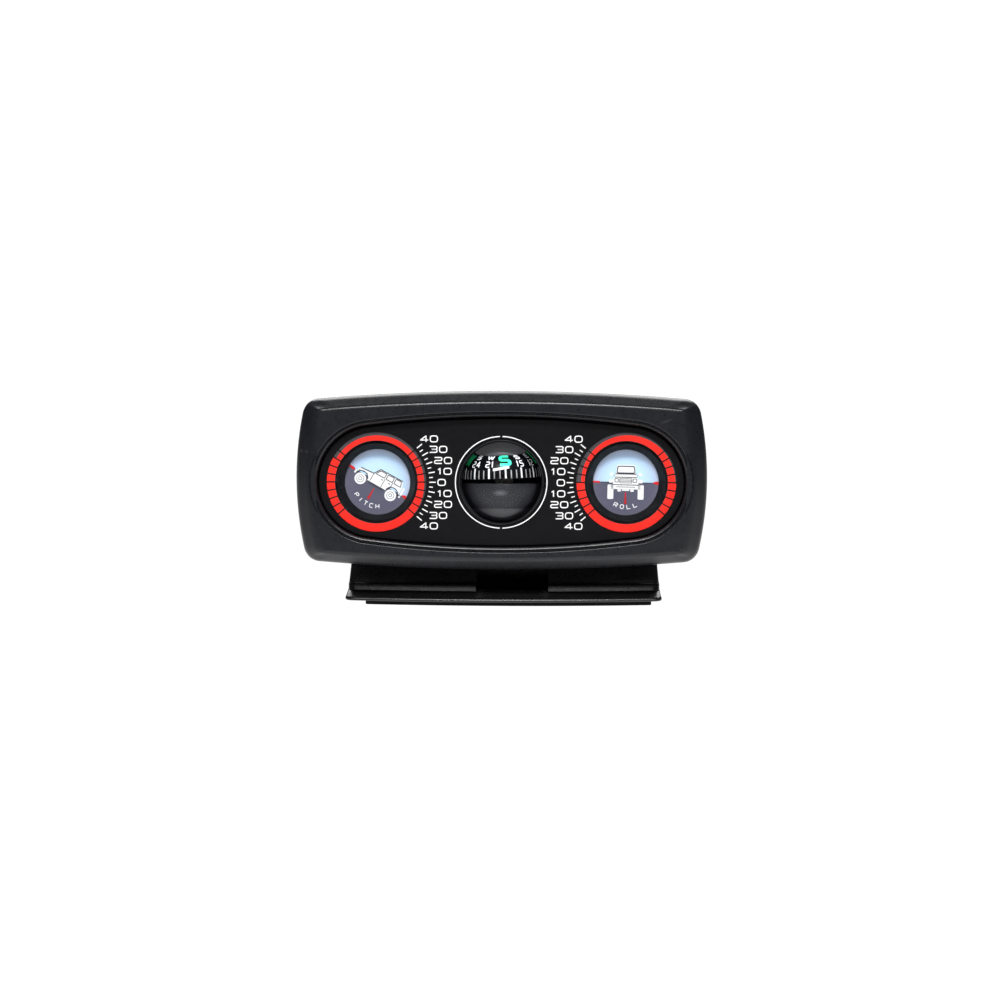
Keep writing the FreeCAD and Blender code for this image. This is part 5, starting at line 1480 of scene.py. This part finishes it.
def disc_face(name, angle, cx, body):
    place = turned(angle, cx)
    centre = HOUSING @ Vector((cx, DISC, 0))
    sky = radial(
        name + "_sky", centre,
        [(0.0, lin(206, 238, 255)), (0.55, lin(200, 232, 255)), (0.78, lin(192, 220, 250)), (0.95, lin(186, 198, 222))],
        spread=10.8,
    )
    ground = radial(
        name + "_ground", centre,
        [(0.0, lin(86, 88, 104)), (0.6, lin(90, 90, 109)), (0.85, lin(97, 95, 116)), (0.97, lin(106, 106, 121))],
        spread=10.8,
    )
    up = disc_pts(0, 0, R_D, 90, 0.0, pi, True)
    down = disc_pts(0, 0, R_D, 90, pi, 2 * pi, True)
    v_, f_ = plate(up, DISC - 0.03, DISC + 0.01)
    make(name + "_sky", v_, f_, sky, body, place, sharp=30)
    v_, f_ = plate(down, DISC - 0.03, DISC + 0.01)
    make(name + "_ground", v_, f_, ground, body, place, sharp=30)
    v_, f_ = ribbon([(-R_D + 0.02, 0), (R_D - 0.02, 0)], 0.22, False, DISC - 0.045, DISC - 0.02)
    make(name + "_horizon", v_, f_, M["ink"], body, place, sharp=30)
    return place


def drawn(name, place, body, white, dark, lines, red):
    """A pictogram: white shapes, then dark shapes, then dark lines; and the red marks."""
    v_, f_ = merge([plate(p, DISC - 0.07, DISC - 0.04) for p in white])
    make(name + "_vehicle", v_, f_, M["white"], body, place, sharp=30)
    got = [plate(p, DISC - 0.085, DISC - 0.065) for p in dark]
    got += [ribbon(p, w, c, DISC - 0.085, DISC - 0.065) for p, w, c in lines]
    v_, f_ = merge(got)
    make(name + "_lines", v_, f_, M["ink"], body, place, sharp=30)
    v_, f_ = merge([plate(p, DISC - 0.075, DISC - 0.02) for p in red])
    make(name + "_pointers", v_, f_, M["red_ink"], body, place, sharp=30)


# pitch: an off-road vehicle from the side, nose to the left
place = disc_face("pitch", math.radians(29.5), -39.4, "pitch_dial")
wheel_a, wheel_b, wz = -5.35, 5.6, -1.75


def tub():
    """The body's outline, with wheel arches."""
    p = [(-7.35, -0.35), (-7.35, 0.75), (-6.9, 1.45), (-2.35, 1.85), (-1.0, 3.95), (7.0, 4.05),
         (7.75, 2.2), (7.85, -0.2), (7.6, -0.9)]
    arch_b = [(wheel_b + 2.2 * math.cos(t), wz + 0.35 + 2.2 * math.sin(t)) for t in np.linspace(0.15, pi - 0.15, 14)]
    mid = [(3.2, -1.15), (-2.9, -1.15)]
    arch_a = [(wheel_a + 2.2 * math.cos(t), wz + 0.35 + 2.2 * math.sin(t)) for t in np.linspace(0.15, pi - 0.2, 14)]
    return p + arch_b + mid + arch_a


white = [tub(), rect(-8.1, -1.0, -7.45, 0.1, 0.15), rect(8.0, -0.3, 8.75, 2.4, 0.3), rect(8.0, -1.1, 8.6, -0.55, 0.1)]
for wx in (wheel_a, wheel_b):
    white.append(disc_pts(wx, wz, 1.86, 44))
lines = [
    (rounded([(-1.7, 2.05), (-0.75, 3.55), (1.35, 3.6), (1.35, 2.05)], True, 0.25), 0.24, True),
    (rounded([(1.95, 2.05), (1.95, 3.62), (4.15, 3.65), (4.15, 2.05)], True, 0.25), 0.24, True),
    (rounded([(4.75, 2.05), (4.75, 3.66), (6.65, 3.68), (7.2, 2.05)], True, 0.25), 0.24, True),
    ([(-2.35, 1.85), (-2.35, -0.9)], 0.18, False),
    ([(1.65, 2.0), (1.65, -1.0)], 0.18, False),
    ([(4.4, 2.0), (4.4, 0.8), (3.9, 0.2)], 0.18, False),
    ([(-6.9, 1.42), (-2.3, 1.82), (-0.98, 3.92), (7.0, 4.02)], 0.30, False),
    ([(-7.2, 0.55), (-4.0, 0.75)], 0.16, False),
    ([(0.55, 1.25), (1.25, 1.25)], 0.22, False),
    ([(3.1, 1.25), (3.8, 1.25)], 0.22, False),
    ([(-2.9, -1.2), (3.2, -1.2)], 0.24, False),
    ([(-2.5, -1.6), (2.9, -1.6)], 0.18, False),
]
for wx in (wheel_a, wheel_b):
    lines.append((disc_pts(wx, wz + 0.35, 2.22, 20, 0.25, pi - 0.25, True), 0.26, False))
    lines.append((disc_pts(wx, wz, 1.15, 32), 0.12, True))
    lines.append((disc_pts(wx, wz, 0.5, 20), 0.14, True))
red = [
    np.array([(-R_D + 0.05, -0.1), (-8.9, -0.38), (-8.35, -0.2), (-8.2, 0.05), (-8.4, 0.35), (-9.0, 0.5), (-R_D + 0.05, 0.45)]),
    np.array([(R_D - 0.05, 0.45), (9.6, 0.5), (9.1, 0.3), (8.95, 0.05), (9.15, -0.25), (9.7, -0.45), (R_D - 0.05, -0.4)]),
]
drawn("pitch", place, "pitch_dial", white, [], lines, red)
v, f = plate([(-0.14, -2.3), (-0.42, -6.1), (0.1, -6.4), (0.42, -6.1), (0.14, -2.3)], DISC - 0.06, DISC - 0.02)
make("pitch_needle", v, f, M["needle"], "pitch_dial", place, sharp=30)
v, f = arc_word("PITCH", 7.75, math.radians(14.5), 1.3, 1.5, 0.27, DISC - 0.06, DISC - 0.02)
make("pitch_word", v, f, M["white"], "pitch_dial", place, sharp=30)

# roll: the same kind of vehicle from the front
place = disc_face("roll", math.radians(1.3), 39.4, "roll_dial")
white = [
    rounded([(-3.15, 2.75), (3.15, 2.75), (2.85, 5.55), (-2.85, 5.55)], True, 0.5),
    rounded([(-3.5, 1.55), (3.5, 1.55), (3.3, 2.65), (-3.3, 2.65)], True, 0.35),
    rounded([(-4.15, -0.9), (4.15, -0.9), (3.75, 1.7), (-3.75, 1.7)], True, 0.5),
    rect(-4.7, -2.15, 4.7, -0.75, 0.3),
    rect(-5.75, -5.35, -3.85, -0.75, 0.35),
    rect(3.85, -5.35, 5.75, -0.75, 0.35),
    rect(-5.1, 2.1, -3.95, 3.0, 0.3),
    rect(3.95, 2.1, 5.1, 3.0, 0.3),
    rect(-5.35, -0.15, -4.05, 0.95, 0.3),
    rect(4.05, -0.15, 5.35, 0.95, 0.3),
    rect(-2.6, -2.9, -1.5, -2.2, 0.15),
    rect(1.5, -2.9, 2.6, -2.2, 0.15),
    rect(-1.2, -2.65, 1.2, -2.2, 0.1),
]
lines = [
    (rounded([(-2.85, 3.0), (2.85, 3.0), (2.6, 5.1), (-2.6, 5.1)], True, 0.45), 0.30, True),
    ([(-3.3, 2.68), (3.3, 2.68)], 0.30, False),
    ([(-3.55, 1.62), (3.55, 1.62)], 0.24, False),
    (rect(-3.45, 0.1, -2.35, 1.15, 0.15), 0.2, True),
    (rect(2.35, 0.1, 3.45, 1.15, 0.15), 0.2, True),
    (rect(-1.95, -0.15, 1.95, 1.2, 0.25), 0.18, True),
    ([(-1.85, 0.75), (1.85, 0.75)], 0.16, False),
    ([(-1.85, 0.3), (1.85, 0.3)], 0.16, False),
    ([(-4.1, -0.78), (4.1, -0.78)], 0.24, False),
    ([(-3.0, -1.45), (3.0, -1.45)], 0.17, False),
    ([(-3.9, 2.3), (-3.55, 2.1)], 0.16, False),
    ([(3.9, 2.3), (3.55, 2.1)], 0.16, False),
]
red = [
    rect(-R_D + 0.05, -0.28, -8.2, 0.3, 0.1),
    np.array([(R_D - 0.05, 0.42), (9.7, 0.52), (9.0, 0.32), (8.6, 0.02), (9.0, -0.3), (9.7, -0.48), (R_D - 0.05, -0.36)]),
]
drawn("roll", place, "roll_dial", white, [], lines, red)
v, f = plate([(-0.2, -3.05), (-0.42, -6.9), (0.42, -6.9), (0.2, -3.05)], DISC - 0.06, DISC - 0.02)
make("roll_needle", v, f, M["needle"], "roll_dial", place, sharp=30)
v, f = arc_word("ROLL", 7.75, math.radians(15.5), 1.35, 1.5, 0.27, DISC - 0.06, DISC - 0.02)
make("roll_word", v, f, M["white"], "roll_dial", place, sharp=30)

# ------------------------------------------------------------------ the filled globe
G_OUT, G_IN = 13.0, 12.5
n_g = 128
prof_out = [(G_OUT * math.sin(t), 12.0 - G_OUT * math.cos(t)) for t in np.linspace(0.002, pi - math.asin(1.2 / G_OUT), 72)]
prof_in = [(G_IN * math.sin(t), 12.0 - G_IN * math.cos(t)) for t in np.linspace(pi - math.asin(1.2 / G_IN), 0.002, 72)]
v, f = turn(prof_out + prof_in, n_g, wrap=True)
globe = make(
    "globe", v, f, M["liquid"], "housing", HOUSING, sharp=60, replaces=("compass_globe",),
    slot="clear_plastic",
)
globe.data.materials.append(M["inside"])
ball_at = np.array(HOUSING @ Vector((0, 12.0, 0))) * 0.001
for p_ in globe.data.polygons:
    if np.linalg.norm(np.array(p_.center) - ball_at) < 0.01275:
        p_.material_index = 1

# the rounded edge of the compass mouth, coloured a paler grey than the black around it as a painted highlight
a_ = np.linspace(0, 2 * pi, 9)[:-1]
v, f = turn([(13.22 + 0.07 * math.cos(t), 2.80 + 0.07 * math.sin(t)) for t in a_], 160)
make("mouth_edge_painted_highlight", v, f, M["mouth"], "housing", HOUSING, sharp=60)

# ------------------------------------------------------------------ compass card marks
R_CARD, H_CARD, N_CARD = 9.6, 8.3, 3.5
R_JOIN, TOP_CARD = 6.5, 8.75


def card_profile(inset=0.0, n=400):
    """The card's section as radii and heights: a steep skirt under a low dome."""
    r0, h0, rj, top = R_CARD - inset, H_CARD - inset, R_JOIN - inset * 0.6, TOP_CARD - inset
    t = np.linspace(0, pi / 2, n)
    r = r0 * np.cos(t) ** (2 / N_CARD)
    z = h0 * np.sin(t) ** (2 / N_CARD)
    keep = r > rj
    r, z = r[keep], z[keep]
    zj = h0 * (1 - (rj / r0) ** N_CARD) ** (1 / N_CARD)
    rise = top - zj
    big = (rj * rj + rise * rise) / (2 * rise)
    a = np.linspace(math.asin(rj / big), 0, n // 2)
    return np.concatenate([r, big * np.sin(a)]), np.concatenate([z, top - big + big * np.cos(a)])


prof_r, prof_z = card_profile()
prof_s = np.concatenate([[0], np.cumsum(np.hypot(np.diff(prof_r), np.diff(prof_z)))])
nr_ = np.gradient(prof_z, prof_s)
nz_ = -np.gradient(prof_r, prof_s)
nl_ = np.hypot(nr_, nz_)


def arc_at(z):
    """Length along the card's profile from its middle plane to a height."""
    return float(np.interp(z, prof_z, prof_s))


def on_dome(phi0, middle):
    """Wraps (x, depth, up) onto the card: up runs along the profile, x along the
    parallel through middle; depth -1 mm stands 1 mm proud."""
    r_mid = float(np.interp(middle, prof_s, prof_r))

    def put(p):
        r = np.interp(p[2], prof_s, prof_r)
        z = np.interp(p[2], prof_s, prof_z)
        k = np.interp(p[2], prof_s, nl_)
        r = r - p[1] * np.interp(p[2], prof_s, nr_) / k
        z = z - p[1] * np.interp(p[2], prof_s, nz_) / k
        phi = phi0 + p[0] / r_mid
        return (r * math.sin(phi), -r * math.cos(phi), z)

    return put


def thinned(r, z, low, gap=0.22):
    """Points of a profile above a height, about gap apart."""
    out = [(float(np.interp(low, z, r)), low)]
    for a, b in zip(r, z):
        if b > low + 0.05 and math.hypot(a - out[-1][0], b - out[-1][1]) > gap:
            out.append((float(a), float(b)))
    return out


inside = [q for q in thinned(*card_profile(0.5), 0.9) if q[0] > 1.4]
outside = thinned(prof_r, prof_z, 0.9)
outside = [q for q in outside if q[0] > 0.12] + [(0.02, TOP_CARD)]
card_prof = [(0.02, 5.7), (1.2, 5.7), (1.2, inside[-1][1] + 0.02)] + inside[::-1]
card_prof += [(R_CARD - 0.12, 0.88)] + outside
a_ = np.linspace(0, 2 * pi, 96, endpoint=False)
v, f = loft(
    [np.stack([r * np.cos(a_), r * np.sin(a_), np.full(96, z)], 1) for r, z in card_prof],
    cap=(True, True),
)
make(
    "float_card", v, f, M["card"], "compass_float", CARD, sharp=50, replaces=("compass_card",),
    slot="card_dark",
)


def on_ball(radius, phi0=0.0):
    """Wraps (x, depth, up) from a flat strip onto a ball: x along the parallel at the
    equator's scale, up as latitude; depth -1 mm stands 1 mm proud."""

    def put(p):
        lat = p[2] / radius
        phi = phi0 + p[0] / radius
        q = radius - p[1]
        return (
            q * math.cos(lat) * math.sin(phi),
            -q * math.cos(lat) * math.cos(phi),
            q * math.sin(lat),
        )

    return put


HEADING = math.radians(8.6)
bright, dull, green = [], [], []
s_num, s_let, s_main = arc_at(5.30), arc_at(7.12), arc_at(6.45)
for b in range(0, 360, 10):
    phi = HEADING + math.radians(180 - b)
    major = b % 30 == 0
    lo, hi = 1.08, (4.12 if major else 3.54)
    put = on_dome(phi, 2.5)
    q = [(0.0, lo + (hi - lo) * t) for t in np.linspace(0, 1, 7)]
    v_, f_ = ribbon(q, 0.54 if major else 0.34, False, -0.03, 0.02)
    (bright if major else dull).append(([put(p) for p in v_], f_))
    if major and b not in (0, 90, 180, 270):
        txt = str(b // 10)
        w1, h1, st = 1.42, 2.05, 0.33
        put = on_dome(phi, s_num)
        if len(txt) == 1:
            bright.append(glyph(txt, 0, s_num, w1, h1, st, -0.03, 0.02, put))
        else:
            wa, wb = (0.75 if c == "1" else w1 for c in txt)
            total = wa + 0.34 + wb
            bright.append(glyph(txt[0], -total / 2 + wa / 2, s_num, wa, h1, st, -0.03, 0.02, put))
            bright.append(glyph(txt[1], total / 2 - wb / 2, s_num, wb, h1, st, -0.03, 0.02, put))
for b, word in ((45, "NE"), (135, "SE"), (225, "SW"), (315, "NW")):
    phi = HEADING + math.radians(180 - b)
    for ch, off in zip(word, (-1, 1)):
        put = on_dome(phi + math.radians(15.5) * off, s_let)
        bright.append(glyph(ch, 0, s_let, 1.8 if ch != "W" else 2.2, 1.72, 0.38, -0.03, 0.02, put))
for b, ch in ((0, "N"), (90, "E"), (180, "S"), (270, "W")):
    phi = HEADING + math.radians(180 - b)
    put = on_dome(phi, s_main)
    green.append(glyph(ch, 0, s_main, 3.7 if ch != "W" else 4.2, 4.1, 0.98, -0.03, 0.02, put))
for nm, got, mat in (
    ("card_marks", bright, "mark"), ("card_minor_marks", dull, "mark_grey"), ("card_letters", green, "mint"),
):
    v, f = merge(got)
    make(nm, v, f, M[mat], "compass_float", CARD, sharp=30)
s_join = float(np.interp(-(R_JOIN - 0.02), -prof_r, prof_s))
cap_s = np.linspace(s_join, prof_s[-1] - 0.03, 16)
put_o = put_i = on_dome(0.0, s_join)
cap_prof = [put_o((0.0, -0.02, q)) for q in cap_s] + [put_i((0.0, 0.03, q)) for q in cap_s[::-1]]
a_ = np.linspace(0, 2 * pi, 72, endpoint=False)
v, f = loft(
    [np.stack([-q[1] * np.cos(a_), -q[1] * np.sin(a_), np.full(72, q[2])], 1) for q in cap_prof],
    wrap=True,
)
make("card_top_print", v, f, M["card_cap"], "compass_float", CARD, sharp=30)

# the lubber bar inside the globe
R_BAR = 12.35
put = on_ball(R_BAR, 0.0)
q = []
for t in np.linspace(0, 1, 15):
    x, z = -2.50 + 5.0 * t, 3.82 + 0.92 * t
    lat = math.asin(z / R_BAR)
    phi = math.asin(x / (R_BAR * math.cos(lat)))
    q.append((phi * R_BAR, lat * R_BAR))
v, f = ribbon(q, 0.86, False, -0.03, 0.02)
v = [put(p) for p in v]
make("lubber_bar", v, f, M["mark"], "housing", HOUSING @ Matrix.Translation((0, 12.0, 0)), sharp=30)


# ------------------------------------------------------------------ studio
def stage_mat(name, color, emit=0.0, emit_col=(1, 1, 1), glow=0.0):
    m, nt, out = mat_nodes(name)
    b = nt.nodes.new("ShaderNodeBsdfPrincipled")
    tc = nt.nodes.new("ShaderNodeTexCoord").outputs["Object"]
    n = noise(nt, 3.0, 2.0, 0.5, tc)
    c = ramp(nt, n.outputs["Fac"], [(0.3, tuple(x * 0.99 for x in color)), (0.7, color)])
    link(nt, c.outputs["Color"], b.inputs["Base Color"])
    b.inputs["Roughness"].default_value = 0.9
    b.inputs["Specular IOR Level"].default_value = 0.1
    b.inputs["Emission Color"].default_value = (*emit_col, 1.0)
    b.inputs["Emission Strength"].default_value = glow
    e = nt.nodes.new("ShaderNodeEmission")
    e.inputs["Color"].default_value = (*emit_col, 1.0)
    e.inputs["Strength"].default_value = emit
    lp = nt.nodes.new("ShaderNodeLightPath")
    mx = nt.nodes.new("ShaderNodeMixShader")
    link(nt, lp.outputs["Is Camera Ray"], mx.inputs["Fac"])
    link(nt, b.outputs["BSDF"], mx.inputs[1])
    link(nt, e.outputs["Emission"], mx.inputs[2])
    link(nt, mx.outputs["Shader"], out.inputs["Surface"])
    return m


fm = bpy.data.meshes.new("floor")
S = 6.0
fm.from_pydata([(-S, -S, 0), (S, -S, 0), (S, S, 0), (-S, S, 0)], [], [(0, 1, 2, 3)])
floor = bpy.data.objects.new("floor", fm)
bpy.context.scene.collection.objects.link(floor)
floor_mat = stage_mat("studio_floor", (0.25, 0.25, 0.25), 1.05, glow=0.85)
# the floor glows in front of and behind the object, and less out to its sides
ft = floor_mat.node_tree
tc_ = ft.nodes.new("ShaderNodeTexCoord")
sx_ = ft.nodes.new("ShaderNodeSeparateXYZ")
ab_ = ft.nodes.new("ShaderNodeMath")
ab_.operation = "ABSOLUTE"
mr_ = ft.nodes.new("ShaderNodeMapRange")
for k_, v_ in (("From Min", 0.066), ("From Max", 0.17), ("To Min", 1.12), ("To Max", 0.36)):
    mr_.inputs[k_].default_value = v_
ft.links.new(tc_.outputs["Object"], sx_.inputs["Vector"])
ft.links.new(sx_.outputs["X"], ab_.inputs[0])
ft.links.new(ab_.outputs["Value"], mr_.inputs["Value"])
for n_ in ft.nodes:
    if n_.bl_idname == "ShaderNodeBsdfPrincipled":
        ft.links.new(mr_.outputs["Result"], n_.inputs["Emission Strength"])
fm.materials.append(floor_mat)
floor.location.z = -0.0001

world = bpy.data.worlds.new("studio")
bpy.context.scene.world = world
world.use_nodes = True
wt = world.node_tree
wt.nodes.clear()
wo = wt.nodes.new("ShaderNodeOutputWorld")
seen = wt.nodes.new("ShaderNodeBackground")
seen.inputs["Color"].default_value = (1, 1, 1, 1)
seen.inputs["Strength"].default_value = 1.05
lit = wt.nodes.new("ShaderNodeBackground")
lit.inputs["Color"].default_value = (0.92, 0.95, 1.0, 1)
lit.inputs["Strength"].default_value = 0.04
lp = wt.nodes.new("ShaderNodeLightPath")
mx = wt.nodes.new("ShaderNodeMixShader")
wt.links.new(lp.outputs["Is Camera Ray"], mx.inputs["Fac"])
wt.links.new(lit.outputs["Background"], mx.inputs[1])
wt.links.new(seen.outputs["Background"], mx.inputs[2])
wt.links.new(mx.outputs["Shader"], wo.inputs["Surface"])


def softbox(name, at, look, size, watts, color=(1, 1, 1)):
    l = bpy.data.lights.new(name, "AREA")
    l.shape = "RECTANGLE"
    l.size, l.size_y = size
    l.energy = watts
    l.color = color
    o = bpy.data.objects.new(name, l)
    bpy.context.scene.collection.objects.link(o)
    o.location = at
    o.rotation_euler = (Vector(look) - Vector(at)).to_track_quat("-Z", "Y").to_euler()
    o.visible_camera = False
    return o


def polar(az, el, d, look=(0, 0, 0.03)):
    """A point seen from the object at azimuth az (0 in front) and elevation el, in degrees."""
    a, e = math.radians(az), math.radians(el)
    return (
        look[0] + d * math.sin(a) * math.cos(e),
        look[1] - d * math.cos(a) * math.cos(e),
        look[2] + d * math.sin(e),
    )


softbox("key", polar(0, 52, 1.1), (0, 0, 0.03), (0.36, 0.2), 8.6)
softbox("strip", polar(0, 52, 1.09), (0, 0, 0.03), (1.1, 0.06), 3.3)
softbox("fill", polar(0, 33, 1.1), (0, 0, 0.03), (0.9, 0.12), 1.5)
softbox("rim", polar(180, 42, 1.1), (0, 0, 0.06), (1.0, 0.7), 10.0)

scene = bpy.context.scene
scene.view_settings.view_transform = "Standard"
scene.view_settings.look = "None"
scene.view_settings.exposure = 0.0
scene.view_settings.gamma = 1.0
